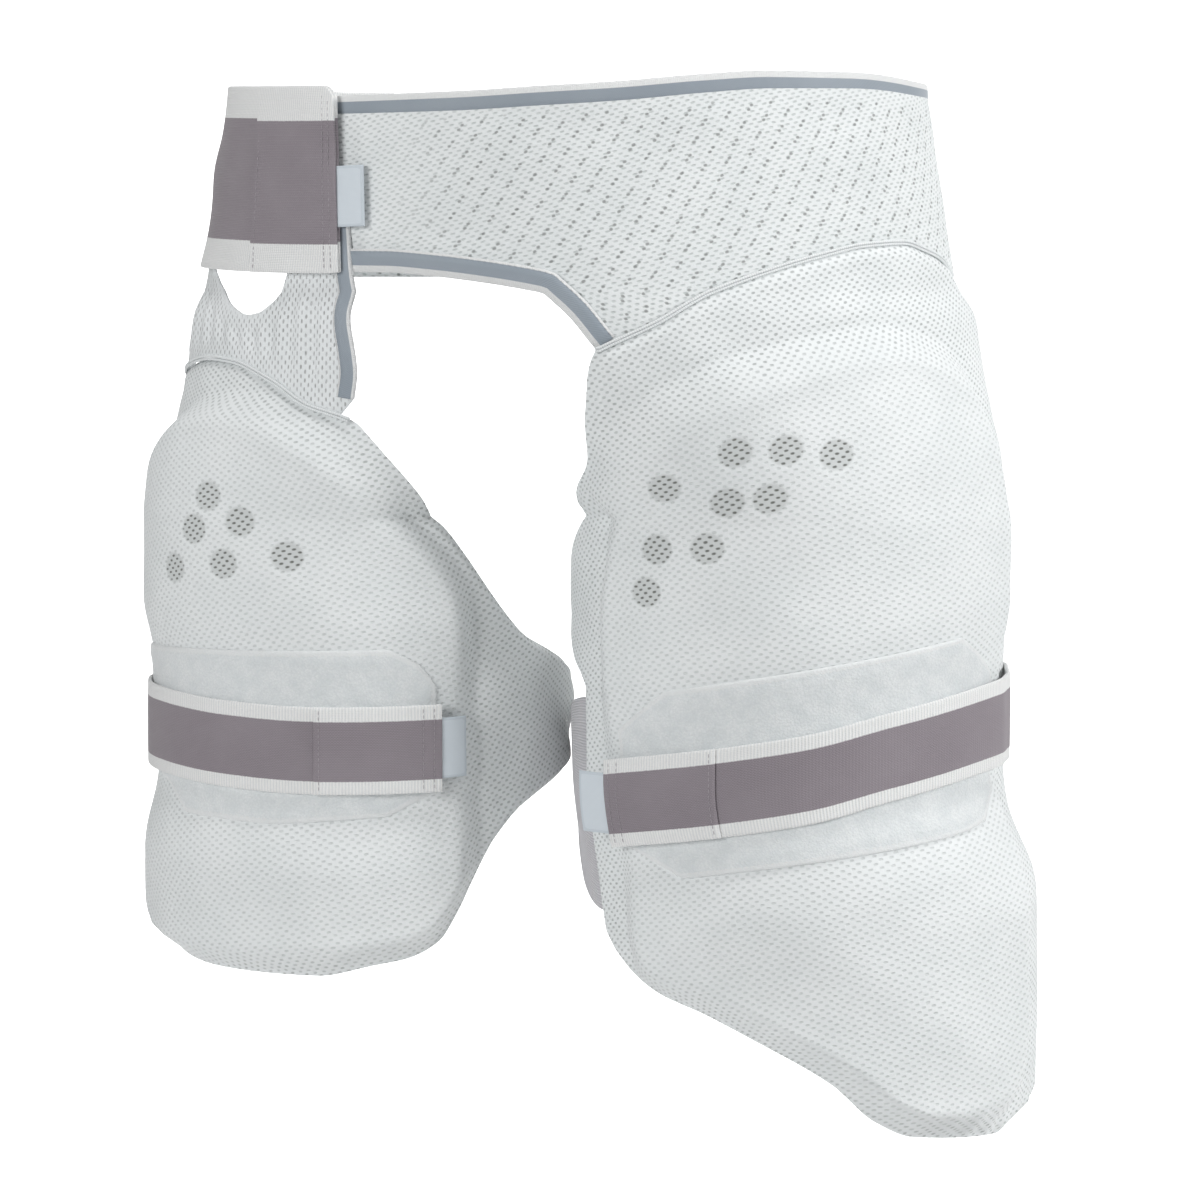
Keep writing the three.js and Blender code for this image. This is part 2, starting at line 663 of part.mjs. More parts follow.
// Ribbed elastic gusset from the main guard's inner edge to the root of its strap.
const gussetTop = 0.515;
const gussetBottom = 0.757;
const gussetSpread = 1.1; // above 1, the gusset is at its full height before it meets the guard
const gussetSagShare = 0.4; // share of the gusset's width in which its bulge rises and falls
const edgeClear = 1;
add(
  "main_gusset",
  layered(7, 7, (u, v, layer) => {
    const share = mix(gussetTop, gussetBottom, v);
    const right = along(mainInnerEdge, share) - edgeClear;
    const turn = mix(gussetTurn, right, u);
    const narrow = mainMiddle(mainStrapRoot) + strapHeight * (0.5 - v);
    const z = mix(narrow, mainZ(share), ease(u * gussetSpread));
    const out = bareSkin + gussetSag * ease((1 - u) / gussetSagShare);
    return onBody(1, turn, z, out + layer * elasticThickness);
  }),
  colours.gusset,
);

// Blank labels sewn into the folded ends.
function label(side, start, end, middle, inner, outer, lean = 0) {
  return layered(2, 1, (u, v, layer) => {
    const turn = mix(start, end, u) + lean * (v - 0.5);
    const off = mix(inner, outer, u) + layer * tabThickness;
    return onBody(side, turn, middle + tabHeight * (0.5 - v), off);
  });
}
const tabTurn = THREE.MathUtils.radToDeg(tabWidth / (rightThighHalfWidth + mainDome));
const waistTabTurn = THREE.MathUtils.radToDeg(tabWidth / hipHalfWidth);
const labelClear = 0.4; // degrees between a fold's end and its label
const waistTabMiddle = -8;
const waistTabLean = (elasticLean * tabHeight) / elasticHeight;
const waistTabDepth = (elasticMiddle(elasticFrontEnd) - waistTabMiddle) / elasticHeight;
const waistTabStart = elasticFrontEnd + labelClear + leaning(0.5 + waistTabDepth);
add(
  "waist_tab",
  label(
    1,
    waistTabStart,
    waistTabStart + waistTabTurn,
    waistTabMiddle,
    elasticIn,
    elasticIn,
    waistTabLean,
  ),
  colours.label,
);
const mainTabEnd = mainStrapEnd - labelClear;
const mainTabRise = 4.5; // it stands straight out from the strap's end
const mainTabOff = underMain(mainTabEnd) + overPatch;
const mainTabMiddle = mainMiddle(mainStrapEnd);
add(
  "main_tab",
  label(1, mainTabEnd - tabTurn, mainTabEnd, mainTabMiddle, mainTabOff + mainTabRise, mainTabOff),
  colours.label,
);
const innerTabStart = innerStrapEnd + labelClear;
const innerTabOff = underInner(innerStrapEnd) + overPatch;
add(
  "inner_tab",
  label(-1, innerTabStart, innerTabStart + tabTurn, innerMiddle(innerStrapEnd), innerTabOff, innerTabOff),
  colours.label,
);

export default set;
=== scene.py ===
import math

import bmesh
import bpy
import numpy as np
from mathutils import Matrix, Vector


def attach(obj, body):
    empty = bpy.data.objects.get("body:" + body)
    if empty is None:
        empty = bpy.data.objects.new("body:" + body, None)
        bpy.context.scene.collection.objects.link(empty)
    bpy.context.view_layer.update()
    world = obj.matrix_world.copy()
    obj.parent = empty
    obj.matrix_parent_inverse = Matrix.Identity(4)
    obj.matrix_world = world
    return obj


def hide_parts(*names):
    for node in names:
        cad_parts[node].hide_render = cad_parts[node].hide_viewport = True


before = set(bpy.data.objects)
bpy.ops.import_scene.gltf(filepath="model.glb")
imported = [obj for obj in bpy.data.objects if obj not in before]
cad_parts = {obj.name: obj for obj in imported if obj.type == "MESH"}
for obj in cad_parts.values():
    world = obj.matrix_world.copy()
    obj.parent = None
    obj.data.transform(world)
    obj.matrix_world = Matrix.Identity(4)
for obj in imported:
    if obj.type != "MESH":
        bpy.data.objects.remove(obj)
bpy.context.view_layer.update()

# Waist belt
# Open white mesh, 2.5 mm thick and cut in one piece. It runs from under the elastic's front end round the
# wearer's left side to the right of the back, with bold holes over most of its front and side.
# Sizes are in millimetres. Directions round the body are turns in degrees: 0 is the wearer's front, +90 the
# left side and -90 the right.
HIP_HALF_WIDTH = 163
HIP_HALF_DEPTH = 114
HIP_FLARE = 0.155
HIP_END = 50
HIP_TO_THIGH = 100
LEFT_THIGH_HALF_WIDTH = 92.5
RIGHT_THIGH_HALF_WIDTH = 89
BETWEEN_THIGHS = 14.5
THIGH_SPACING = (LEFT_THIGH_HALF_WIDTH + RIGHT_THIGH_HALF_WIDTH + BETWEEN_THIGHS) / 2
THIGH_HALF_DEPTH = 86
THIGH_SET_BACK = -10
LOWER_FLARE = 11
LOWER_FLARE_TOP = 266
LOWER_FLARE_DROP = 62
THIGH_SHIFT = [(0, 0), (0.1, 0.08), (0.25, 0.17), (0.5, 0.46), (0.75, 0.77), (1, 1)]
THIGH_TAPER = [(0, 0), (0.1, 0.04), (0.25, 0.12), (0.5, 0.42), (0.75, 0.74), (1, 1)]
LEFT, RIGHT = 1, -1
METRES = 0.001

BELT_THICKNESS = 2.5
BELT_HEIGHT = 83
BELT_TOP = 39
BELT_FRONT_END = -62
BELT_BACK_END = 235
BELT_BOW = [
    (-60, -0.04), (-33, -0.036), (-12, -0.024), (2, 0), (15, 0.024), (28, 0.06), (41, 0.083),
    (58, 0.083), (85, 0.048), (120, 0.036), (235, 0.02),
]
BELT_DIP = [
    (-60, 0.05), (-22, 0.043), (-13.4, 0.021), (-5.8, -0.011), (1.4, -0.053), (3.5, -0.072), (4.3, -0.152),
    (5.1, -0.245), (6, -0.36),
]
MAIN_TOP = -28
MAIN_HEIGHT = 397
SEAM = [
    (6, 0.118), (16, 0.091), (25, 0.063), (36, 0.035), (47, 0.015), (57, 0.003), (67, 0), (74, 0.008),
    (82, 0.02), (87, 0.038),
]
SEAM_FRONT, SEAM_BACK = SEAM[0][0], SEAM[-1][0]
BELT_FOLDS_AT = -28
UNDER_TAPE = 9.5  # the binding's width, where the belt lies flat
WHITE = (0.785, 0.81, 0.815)


def mix(a, b, share):
    return a + (b - a) * share


def ease(x):
    x = np.clip(x, 0, 1)
    return x * x * (3 - 2 * x)


def along(table, x):
    """A smooth curve through a table's rows, held level past its ends."""
    xs, ys = np.array(table, float).T
    x = np.clip(np.asarray(x, float), xs[0], xs[-1])
    spans = np.diff(xs)
    rises = np.diff(ys) / spans
    before, after = rises[:-1], rises[1:]
    both = np.where(before * after > 0, before + after, 1)
    slopes = np.concatenate(
        [rises[:1], np.where(before * after > 0, 2 * before * after / both, 0), rises[-1:]]
    )
    i = np.clip(np.searchsorted(xs, x) - 1, 0, len(xs) - 2)
    t = (x - xs[i]) / spans[i]
    bend = spans[i] * t * (1 - t) * (slopes[i] * (1 - t) - slopes[i + 1] * t)
    return ys[i] + (ys[i + 1] - ys[i]) * t * t * (3 - 2 * t) + bend


def section(side, z):
    """The body's level section at a height: its middle's x and y, and its half width and depth."""
    down = -np.asarray(z, float)
    hip_width = HIP_HALF_WIDTH + HIP_FLARE * np.minimum(down, HIP_END)
    hip_depth = HIP_HALF_DEPTH * hip_width / HIP_HALF_WIDTH
    share = (down - HIP_END) / HIP_TO_THIGH
    shift = along(THIGH_SHIFT, share)
    taper = along(THIGH_TAPER, share)
    flare = LOWER_FLARE * ease((down - LOWER_FLARE_TOP) / LOWER_FLARE_DROP) * (side > 0)
    thigh = LEFT_THIGH_HALF_WIDTH if side > 0 else RIGHT_THIGH_HALF_WIDTH
    return (
        side * THIGH_SPACING * shift + flare,
        THIGH_SET_BACK * shift,
        mix(hip_width, thigh, taper) + flare / 2,
        mix(hip_depth, THIGH_HALF_DEPTH, taper),
    )


def on_body(side, turn, z, off):
    """Points that lie off outside the body at turns and heights."""
    turn, z, off = np.broadcast_arrays(turn, z, off)
    x, y, width, depth = section(side, z)
    sin, cos = np.sin(np.radians(turn)), np.cos(np.radians(turn))
    length = np.hypot(sin / width, cos / depth)
    return np.stack(
        [x + width * sin + off * sin / width / length, y - depth * cos - off * cos / depth / length, z], -1
    )


def girth(side, turn, z):
    """Length round the body from its front middle to a turn, at a height."""
    turn, z = np.broadcast_arrays(np.asarray(turn, float), z)
    _, _, width, depth = section(side, z)
    places, weights = np.polynomial.legendre.leggauss(16)
    half = np.radians(turn) / 2
    total = np.zeros(turn.shape)
    for place, weight in zip(places, weights):
        angle = half * (place + 1)
        total += weight * np.hypot(width * np.cos(angle), depth * np.sin(angle))
    return total * half


def reach_round(side, turn, z):
    """Length round the cloth from the wearer's middle to a turn, which keeps the knit's rows upright."""
    return section(side, z)[0] + girth(side, turn, z)


def uneven(x, y, reach, seed):
    """Soft unevenness between about -1 and 1, with swells about reach wide."""
    chance = np.random.RandomState(seed)
    total = 0
    for _ in range(9):
        angle, phase = chance.uniform(0, 2 * math.pi, 2)
        wave = reach * chance.uniform(0.6, 1.6)
        total = total + np.sin((x * math.cos(angle) + y * math.sin(angle)) * 2 * math.pi / wave + phase)
    return total / 4


def lines(start, end, step, lip=0.0):
    """Places from start to end about a step apart, and closer together within lip of each end."""
    if lip == 0:
        return np.linspace(start, end, max(2, round((end - start) / step) + 1))
    near = lip * np.array([0, 0.06, 0.22, 0.5])
    middle = np.linspace(start + lip, end - lip, max(2, round((end - start - 2 * lip) / step) + 1))
    return np.concatenate([start + near, middle, end - near[::-1]])


def rolled(from_edge, lip):
    """Share of a cloth's thickness at a distance from its edge, where the edge is round."""
    inside = np.clip(from_edge / lip, 0, 1)
    return np.sqrt(np.maximum(1 - (1 - inside) ** 2, 0.01))


def cloth_mesh(name, points, faces, cloth, marks=None):
    """An object from points in millimetres. cloth is each point's place on the flat cloth, and marks are
    its distances from the piece's own lines, both in millimetres."""
    mesh = bpy.data.meshes.new(name)
    mesh.from_pydata((points * METRES).tolist(), [], faces.tolist())
    mesh.polygons.foreach_set("use_smooth", np.ones(len(mesh.polygons), bool))
    for label, values in (("cloth", cloth), ("marks", marks)):
        if values is not None:
            mesh.attributes.new(label, "FLOAT_VECTOR", "POINT")
            mesh.attributes[label].data.foreach_set("vector", np.asarray(values, np.float32).ravel())
    mesh.update()
    piece = bpy.data.objects.new(name, mesh)
    bpy.context.scene.collection.objects.link(piece)
    return piece


def between(name, front, back, cloth, marks=None):
    """A closed piece between a front and a back grid of points, columns to the wearer's left, rows down."""
    columns, rows = front.shape[:2]
    f, b = np.arange(2 * columns * rows).reshape(2, columns, rows)
    sides = [
        (f[:-1, :-1], f[:-1, 1:], f[1:, 1:], f[1:, :-1]),
        (b[:-1, :-1], b[1:, :-1], b[1:, 1:], b[:-1, 1:]),
        (b[:-1, 0], f[:-1, 0], f[1:, 0], b[1:, 0]),
        (b[:-1, -1], b[1:, -1], f[1:, -1], f[:-1, -1]),
        (b[0, :-1], b[0, 1:], f[0, 1:], f[0, :-1]),
        (b[-1, :-1], f[-1, :-1], f[-1, 1:], b[-1, 1:]),
    ]
    faces = np.concatenate([np.stack(corners, -1).reshape(-1, 4) for corners in sides])
    both = [None if values is None else np.concatenate([values.reshape(-1, 3)] * 2) for values in (cloth, marks)]
    points = np.concatenate([front.reshape(-1, 3), back.reshape(-1, 3)])
    return cloth_mesh(name, points, faces, *both)


def triple(x, y, z=0.0):
    return np.stack(np.broadcast_arrays(x, y, z), -1).astype(float)


def fit(piece, material, slot, *nodes):
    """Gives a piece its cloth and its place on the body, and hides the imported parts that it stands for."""
    piece.data.materials.append(material)
    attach(piece, "root")
    if nodes:
        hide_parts(*nodes)
    return piece


def put(tree, kind, values, **settings):
    """A shader node with its settings, and its inputs set to numbers or joined to other outputs."""
    made = tree.nodes.new(kind)
    for name, value in settings.items():
        setattr(made, name, value)
    for key, value in values.items():
        if isinstance(value, bpy.types.NodeSocket):
            tree.links.new(value, made.inputs[key])
        else:
            made.inputs[key].default_value = value
    return made


def calc(tree, operation, *values):
    return put(tree, "ShaderNodeMath", dict(enumerate(values)), operation=operation).outputs[0]


def ramp(tree, value, low, high, start=0.0, end=1.0):
    """A smooth step from start to end as a value goes from low to high."""
    given = {"Value": value, "From Min": low, "From Max": high, "To Min": start, "To Max": end}
    return put(tree, "ShaderNodeMapRange", given, interpolation_type="SMOOTHSTEP").outputs[0]


def blend_colours(tree, share, first, second):
    colours = [c if isinstance(c, bpy.types.NodeSocket) else (*c, 1.0) for c in (first, second)]
    values = {0: share, 6: colours[0], 7: colours[1]}
    return put(tree, "ShaderNodeMix", values, data_type="RGBA").outputs[2]


def shader_group(name, inputs, outputs):
    """A node group, and the sockets that it is given and puts out."""
    tree = bpy.data.node_groups.new(name, "ShaderNodeTree")
    for label, value in inputs.items():
        kind = "NodeSocketVector" if isinstance(value, tuple) else "NodeSocketFloat"
        tree.interface.new_socket(name=label, in_out="INPUT", socket_type=kind).default_value = value
    for label in outputs:
        tree.interface.new_socket(name=label, in_out="OUTPUT", socket_type="NodeSocketFloat")
    return tree, tree.nodes.new("NodeGroupInput").outputs, tree.nodes.new("NodeGroupOutput").inputs


def place(tree, group, values):
    return put(tree, "ShaderNodeGroup", values, node_tree=group).outputs


knit_holes, given, wanted = shader_group(
    "Knit holes",
    {"Cloth": (0, 0, 0), "Across": 2.3, "Down": 1.2, "Width": 1.3, "Height": 0.7, "Slant": 0.0, "Softness": 0.3},
    ["Hole", "Cell"],
)
wander = put(knit_holes, "ShaderNodeTexNoise", {"Vector": given["Cloth"], "Scale": 0.08, "Detail": 2.0})
loose = put(knit_holes, "ShaderNodeVectorMath", {0: wander.outputs["Color"], 1: (1.6, 1.6, 0)}, operation="MULTIPLY")
moved = put(knit_holes, "ShaderNodeVectorMath", {0: given["Cloth"], 1: loose.outputs[0]}, operation="ADD")
turned = put(
    knit_holes, "ShaderNodeVectorRotate", {"Vector": moved.outputs[0], "Angle": given["Slant"]}, rotation_type="Z_AXIS"
)
split = put(knit_holes, "ShaderNodeSeparateXYZ", {0: turned.outputs[0]}).outputs
row_place = calc(knit_holes, "DIVIDE", split["Y"], given["Down"])
row = calc(knit_holes, "FLOOR", row_place)
stagger = calc(knit_holes, "MULTIPLY", calc(knit_holes, "FLOORED_MODULO", row, 2.0), 0.5)
column_place = calc(knit_holes, "ADD", calc(knit_holes, "DIVIDE", split["X"], given["Across"]), stagger)
from_middle = []
for cell_place, pitch, size in ((column_place, "Across", "Width"), (row_place, "Down", "Height")):
    centred = calc(knit_holes, "SUBTRACT", calc(knit_holes, "FRACT", cell_place), 0.5)
    real = calc(knit_holes, "MULTIPLY", centred, given[pitch])
    from_middle.append(calc(knit_holes, "DIVIDE", real, calc(knit_holes, "MULTIPLY", given[size], 0.5)))
squares = [calc(knit_holes, "POWER", calc(knit_holes, "ABSOLUTE", distance), 2.4) for distance in from_middle]
reach = calc(knit_holes, "POWER", calc(knit_holes, "ADD", *squares), 1 / 2.4)
outer = calc(knit_holes, "ADD", 1.0, given["Softness"])
inner = calc(knit_holes, "SUBTRACT", 1.0, given["Softness"])
knit_holes.links.new(ramp(knit_holes, reach, outer, inner), wanted["Hole"])
cell = put(knit_holes, "ShaderNodeCombineXYZ", {"X": calc(knit_holes, "FLOOR", column_place), "Y": row})
chance = put(knit_holes, "ShaderNodeTexWhiteNoise", {"Vector": cell.outputs[0]}, noise_dimensions="2D")
knit_holes.links.new(chance.outputs["Value"], wanted["Cell"])

yarn, given, wanted = shader_group("Yarn", {"Cloth": (0, 0, 0), "Fineness": 2.2, "Patches": 0.03}, ["Fibre", "Patch"])
for label, size, detail in (("Fibre", "Fineness", 4.0), ("Patch", "Patches", 3.0)):
    noise = put(yarn, "ShaderNodeTexNoise", {"Vector": given["Cloth"], "Scale": given[size], "Detail": detail})
    yarn.links.new(noise.outputs["Fac"], wanted[label])


def cloth_material(name, roughness, sheen):
    """A matt cloth material: its tree, its shader, and the attributes that its pieces carry."""
    material = bpy.data.materials.new(name)
    material.use_nodes = True
    tree = material.node_tree
    shader = tree.nodes["Principled BSDF"]
    shader.inputs["Roughness"].default_value = roughness
    shader.inputs["Specular IOR Level"].default_value = 0.25
    shader.inputs["Sheen Weight"].default_value = sheen
    shader.inputs["Sheen Roughness"].default_value = 0.5
    cloth = put(tree, "ShaderNodeAttribute", {}, attribute_name="cloth").outputs["Vector"]
    marks = put(tree, "ShaderNodeAttribute", {}, attribute_name="marks").outputs["Vector"]
    return material, tree, shader, cloth, put(tree, "ShaderNodeSeparateXYZ", {0: marks}).outputs


def finish_cloth(tree, shader, colour, height, depth, strength=0.8):
    """Joins a colour and a relief, depth millimetres deep, to a cloth's shader."""
    bump = put(tree, "ShaderNodeBump", {"Height": height, "Distance": depth * METRES, "Strength": strength})
    tree.links.new(colour, shader.inputs["Base Color"])
    tree.links.new(bump.outputs["Normal"], shader.inputs["Normal"])


def main_z(share):
    return MAIN_TOP - share * MAIN_HEIGHT


def seam_z(turn):
    return main_z(along(SEAM, turn))


def belt_top_z(turn):
    return BELT_TOP + BELT_HEIGHT * along(BELT_BOW, turn)


def belt_bottom_z(turn):
    plain = BELT_TOP - BELT_HEIGHT
    free = plain + BELT_HEIGHT * along(BELT_DIP, turn)
    return np.where(turn < SEAM_FRONT, free, np.where(turn > SEAM_BACK, plain, seam_z(turn)))


belt_turns = np.concatenate([lines(BELT_FRONT_END, SEAM_FRONT, 0.7), lines(SEAM_FRONT + 0.7, BELT_BACK_END, 0.8)])
top, bottom = belt_top_z(belt_turns)[:, None], belt_bottom_z(belt_turns)[:, None]
down = lines(0, 1, 0.03, 0.02)[None, :]
belt_z = mix(top, bottom, down)
belt_turn = np.broadcast_to(belt_turns[:, None], belt_z.shape)
from_belt_edge = np.minimum(top - belt_z, belt_z - bottom)
limp = ease((from_belt_edge - UNDER_TAPE) / 10)
folds = 0.6 * np.exp(-((belt_turn - BELT_FOLDS_AT) / 3.5) ** 2) * np.cos(np.radians((belt_turn - BELT_FOLDS_AT) * 70))
swell = 0.45 * uneven(girth(LEFT, belt_turn, belt_z), belt_z, 60, 1)
middle = BELT_THICKNESS / 2 + (swell + folds) * limp
half = 0.44 * BELT_THICKNESS * rolled(from_belt_edge, 1.2)
belt_place = triple(girth(LEFT, belt_turn, 0.0), top - belt_z)
belt = between(
    "belt_cloth",
    on_body(LEFT, belt_turn, belt_z, middle + half),
    on_body(LEFT, belt_turn, belt_z, middle - half),
    belt_place,
    triple(top - belt_z, belt_z - bottom, belt_turn),
)

belt_mesh, tree, shader, cloth, marks = cloth_material("belt_mesh", 0.85, 0.15)
fine = place(
    tree,
    knit_holes,
    {"Cloth": cloth, "Across": 4.2, "Down": 1.75, "Width": 2.0, "Height": 0.85, "Slant": 0.2, "Softness": 0.5},
)
bold = {"Across": 11.0, "Down": 6.2, "Width": 1.6, "Height": 1.15, "Slant": 0.24, "Softness": 0.5}
beside = put(tree, "ShaderNodeVectorMath", {0: cloth, 1: (-1.5, 1.9, 0)}, operation="ADD").outputs[0]
pair = [place(tree, knit_holes, {"Cloth": start, **bold}) for start in (cloth, beside)]
fibres = place(tree, yarn, {"Cloth": cloth})
bold_here = calc(tree, "MULTIPLY", ramp(tree, marks["Z"], -26.0, -8.0), ramp(tree, marks["X"], 10.0, 13.0))
either = calc(tree, "MAXIMUM", pair[0]["Hole"], pair[1]["Hole"])
bold_hole = calc(tree, "MULTIPLY", either, bold_here)
# Painted shade: the fine holes are painted grey and the bold holes near black, for the shade seen through the open
# knit.
shade = calc(tree, "MULTIPLY", fine["Hole"], calc(tree, "MULTIPLY_ADD", fine["Cell"], 0.25, 0.45))
ground = blend_colours(tree, ramp(tree, fibres["Patch"], 0.3, 0.7), (0.745, 0.775, 0.78), WHITE)
with_fine = blend_colours(tree, shade, ground, (0.46, 0.50, 0.495))
colour = blend_colours(tree, calc(tree, "MULTIPLY", bold_hole, 0.66), with_fine, (0.13, 0.14, 0.13))
relief = calc(tree, "SUBTRACT", calc(tree, "MULTIPLY", fibres["Fibre"], 0.35), calc(tree, "MAXIMUM", fine["Hole"], bold_hole))
finish_cloth(tree, shader, colour, relief, 0.35)
fit(belt, belt_mesh, "belt_mesh", "waist_belt")

# Belt bindings
# Bluish grey satin tape with thin white edges, folded over the belt's top edge and over its free lower edge,
# which turns down a slant to the main guard. Both rows of stitches go through the belt.
BINDING_WIDTH = 9.5
BINDING_LAP = 0.9
TAPE_LIP = 2.1
TAPE_GREY = 6.3
TAPE_THICKNESS = 0.6
TAPE_BACK = 5.0
GREY_TAPE = (0.30, 0.345, 0.39)


def frames_along(side, path):
    """Points on a path of turns, heights and offs, with the ways out of the body and up across the path."""
    turn, z, off = np.asarray(path, float).T
    points = on_body(side, turn, z, off)
    out = on_body(side, turn, z, off + 1) - points
    steps = np.diff(points, axis=0)
    steps /= np.linalg.norm(steps, axis=1, keepdims=True)
    before, after = np.concatenate([steps[:1], steps]), np.concatenate([steps, steps[-1:]])
    ahead = before + after
    half_turn = np.linalg.norm(ahead, axis=1, keepdims=True) / 2
    up = np.cross(out, ahead)
    up /= np.linalg.norm(up, axis=1, keepdims=True)
    out = np.cross(ahead, up)
    return points, out / np.linalg.norm(out, axis=1, keepdims=True), up / half_turn


def swept(name, side, path, profile, across=None):
    """A closed piece swept along a path. The profile's points are heights across the path and offs, and
    across is their place on the flat cloth."""
    points, out, up = frames_along(side, path)
    heights, offs = np.asarray(profile, float).T
    count, around = len(points), len(heights)
    rings = points[:, None] + up[:, None] * heights[:, None] + out[:, None] * offs[:, None]
    at = np.arange(count * around).reshape(count, around)
    walls = np.stack([at[:-1], at[1:], np.roll(at[1:], -1, 1), np.roll(at[:-1], -1, 1)], -1)
    length = np.concatenate([[0], np.cumsum(np.linalg.norm(np.diff(points, axis=0), axis=1))])
    cloth = triple(length[:, None], (heights if across is None else np.asarray(across))[None, :])
    piece = cloth_mesh(name, rings.reshape(-1, 3), walls.reshape(-1, 4), cloth.reshape(-1, 3))
    work = bmesh.new()
    work.from_mesh(piece.data)
    bmesh.ops.holes_fill(work, edges=[edge for edge in work.edges if edge.is_boundary])
    bmesh.ops.recalc_face_normals(work, faces=work.faces)
    work.to_mesh(piece.data)
    work.free()
    return piece


def tape_profile(front, back, lap, thickness):
    """The section of a tape folded over an edge: its points, and their places across the flat tape.
    Heights are above the edge, and offs are from the front of the cloth that it is folded over."""
    outside = [(-front, thickness), (-front * 0.6, thickness * 1.15), (-front * 0.3, thickness * 1.15), (0, thickness)]
    over = [(lap * 0.7, 0.1), (lap, -BELT_THICKNESS / 2), (lap * 0.7, -BELT_THICKNESS - 0.1)]
    inside = [(0, -BELT_THICKNESS - thickness), (-back, -BELT_THICKNESS - thickness)]
    lining = [(-back, -BELT_THICKNESS - 0.1), (0.1, -BELT_THICKNESS - 0.1), (0.1, 0.1), (-front, 0.1)]
    return outside + over + inside + lining


def stitches(name, rows, length, thickness, gap):
    """Short raised threads in rows. Each row is points in millimetres that the thread follows, and the
    way out of the cloth at each."""
    points, faces = [], []
    angles = np.linspace(0, 2 * math.pi, 6, endpoint=False)
    for row, out in rows:
        row, out = np.asarray(row, float), np.asarray(out, float)
        run = np.concatenate([[0], np.cumsum(np.linalg.norm(np.diff(row, axis=0), axis=1))])
        for start in np.arange(gap / 2, run[-1] - length, length + gap):
            places = start + length * np.array([0, 0.12, 0.5, 0.88, 1])
            centres = np.stack([np.interp(places, run, row[:, k]) for k in range(3)], -1)
            outs = np.stack([np.interp(places, run, out[:, k]) for k in range(3)], -1)
            ahead = centres[-1] - centres[0]
            side = np.cross(ahead / np.linalg.norm(ahead), outs)
            widths = thickness / 2 * np.array([0.35, 0.85, 1, 0.85, 0.35])
            lifts = thickness / 2 * np.array([-0.5, 0.2, 0.5, 0.2, -0.5])
            rings = (
                centres[:, None]
                + outs[:, None] * (lifts[:, None] + widths[:, None] * np.sin(angles))[:, :, None]
                + side[:, None] * (widths[:, None] * np.cos(angles))[:, :, None]
            )
            first = len(points) * 30
            at = first + np.arange(30).reshape(5, 6)
            faces.append(np.stack([at[:-1], np.roll(at[:-1], -1, 1), np.roll(at[1:], -1, 1), at[1:]], -1).reshape(-1, 4))
            faces.append(np.array([[at[0, 3], at[0, 2], at[0, 1], at[0, 0]], [at[0, 0], at[0, 5], at[0, 4], at[0, 3]]]))
            faces.append(np.array([[at[4, 0], at[4, 1], at[4, 2], at[4, 3]], [at[4, 3], at[4, 4], at[4, 5], at[4, 0]]]))
            points.append(rings.reshape(-1, 3))
    points = np.concatenate(points)
    return cloth_mesh(name, points, np.concatenate(faces), points)


tape_cloth, tree, shader, cloth, marks = cloth_material("grey_binding", 0.5, 0.25)
ribs, given, wanted = shader_group("Ribs", {"Place": 0.0, "Pitch": 1.2, "Sharpness": 1.0}, ["Rib"])
wave = calc(ribs, "COSINE", calc(ribs, "MULTIPLY", calc(ribs, "DIVIDE", given["Place"], given["Pitch"]), 2 * math.pi))
raised_wave = calc(ribs, "MULTIPLY_ADD", wave, 0.5, 0.5)
ribs.links.new(calc(ribs, "POWER", raised_wave, given["Sharpness"]), wanted["Rib"])
flat = put(tree, "ShaderNodeSeparateXYZ", {0: cloth}).outputs
fibres = place(tree, yarn, {"Cloth": cloth, "Fineness": 1.5})
twill_place = calc(tree, "MULTIPLY_ADD", flat["Y"], 0.6, flat["X"])
twill = place(tree, ribs, {"Place": twill_place, "Pitch": 0.9, "Sharpness": 1.0})["Rib"]
cords = place(tree, ribs, {"Place": flat["X"], "Pitch": 0.8, "Sharpness": 0.7})["Rib"]
from_tape_middle = calc(tree, "ABSOLUTE", calc(tree, "ADD", flat["Y"], TAPE_LIP + TAPE_GREY / 2))
white_edge = ramp(tree, from_tape_middle, TAPE_GREY / 2 - 0.12, TAPE_GREY / 2 + 0.12)
worn_grey = blend_colours(tree, twill, (0.26, 0.30, 0.345), GREY_TAPE)
patchy = blend_colours(tree, ramp(tree, fibres["Patch"], 0.3, 0.75, 0.0, 0.3), worn_grey, (0.37, 0.41, 0.45))
colour = blend_colours(tree, white_edge, patchy, (0.74, 0.75, 0.75))
weave = calc(tree, "ADD", calc(tree, "MULTIPLY", twill, 0.5), calc(tree, "MULTIPLY", cords, white_edge))
finish_cloth(tree, shader, colour, weave, 0.15)

thread_cloth, tree, shader, cloth, marks = cloth_material("white_thread", 0.6, 0.3)
spun = place(tree, yarn, {"Cloth": cloth, "Fineness": 5.0})
colour = blend_colours(tree, spun["Fibre"], (0.66, 0.67, 0.67), (0.86, 0.86, 0.85))
finish_cloth(tree, shader, colour, spun["Fibre"], 0.08)

binding_section = tape_profile(BINDING_WIDTH, TAPE_BACK, BINDING_LAP, TAPE_THICKNESS)
binding_across = [height for height, _ in binding_section]
top_turns = lines(BELT_FRONT_END, BELT_BACK_END, 1.0)
top_path = [(turn, belt_top_z(turn), BELT_THICKNESS + 0.05) for turn in top_turns]
top_binding = swept("belt_top_tape", LEFT, top_path, binding_section, binding_across)
fit(top_binding, tape_cloth, "grey_binding", "belt_top_binding")

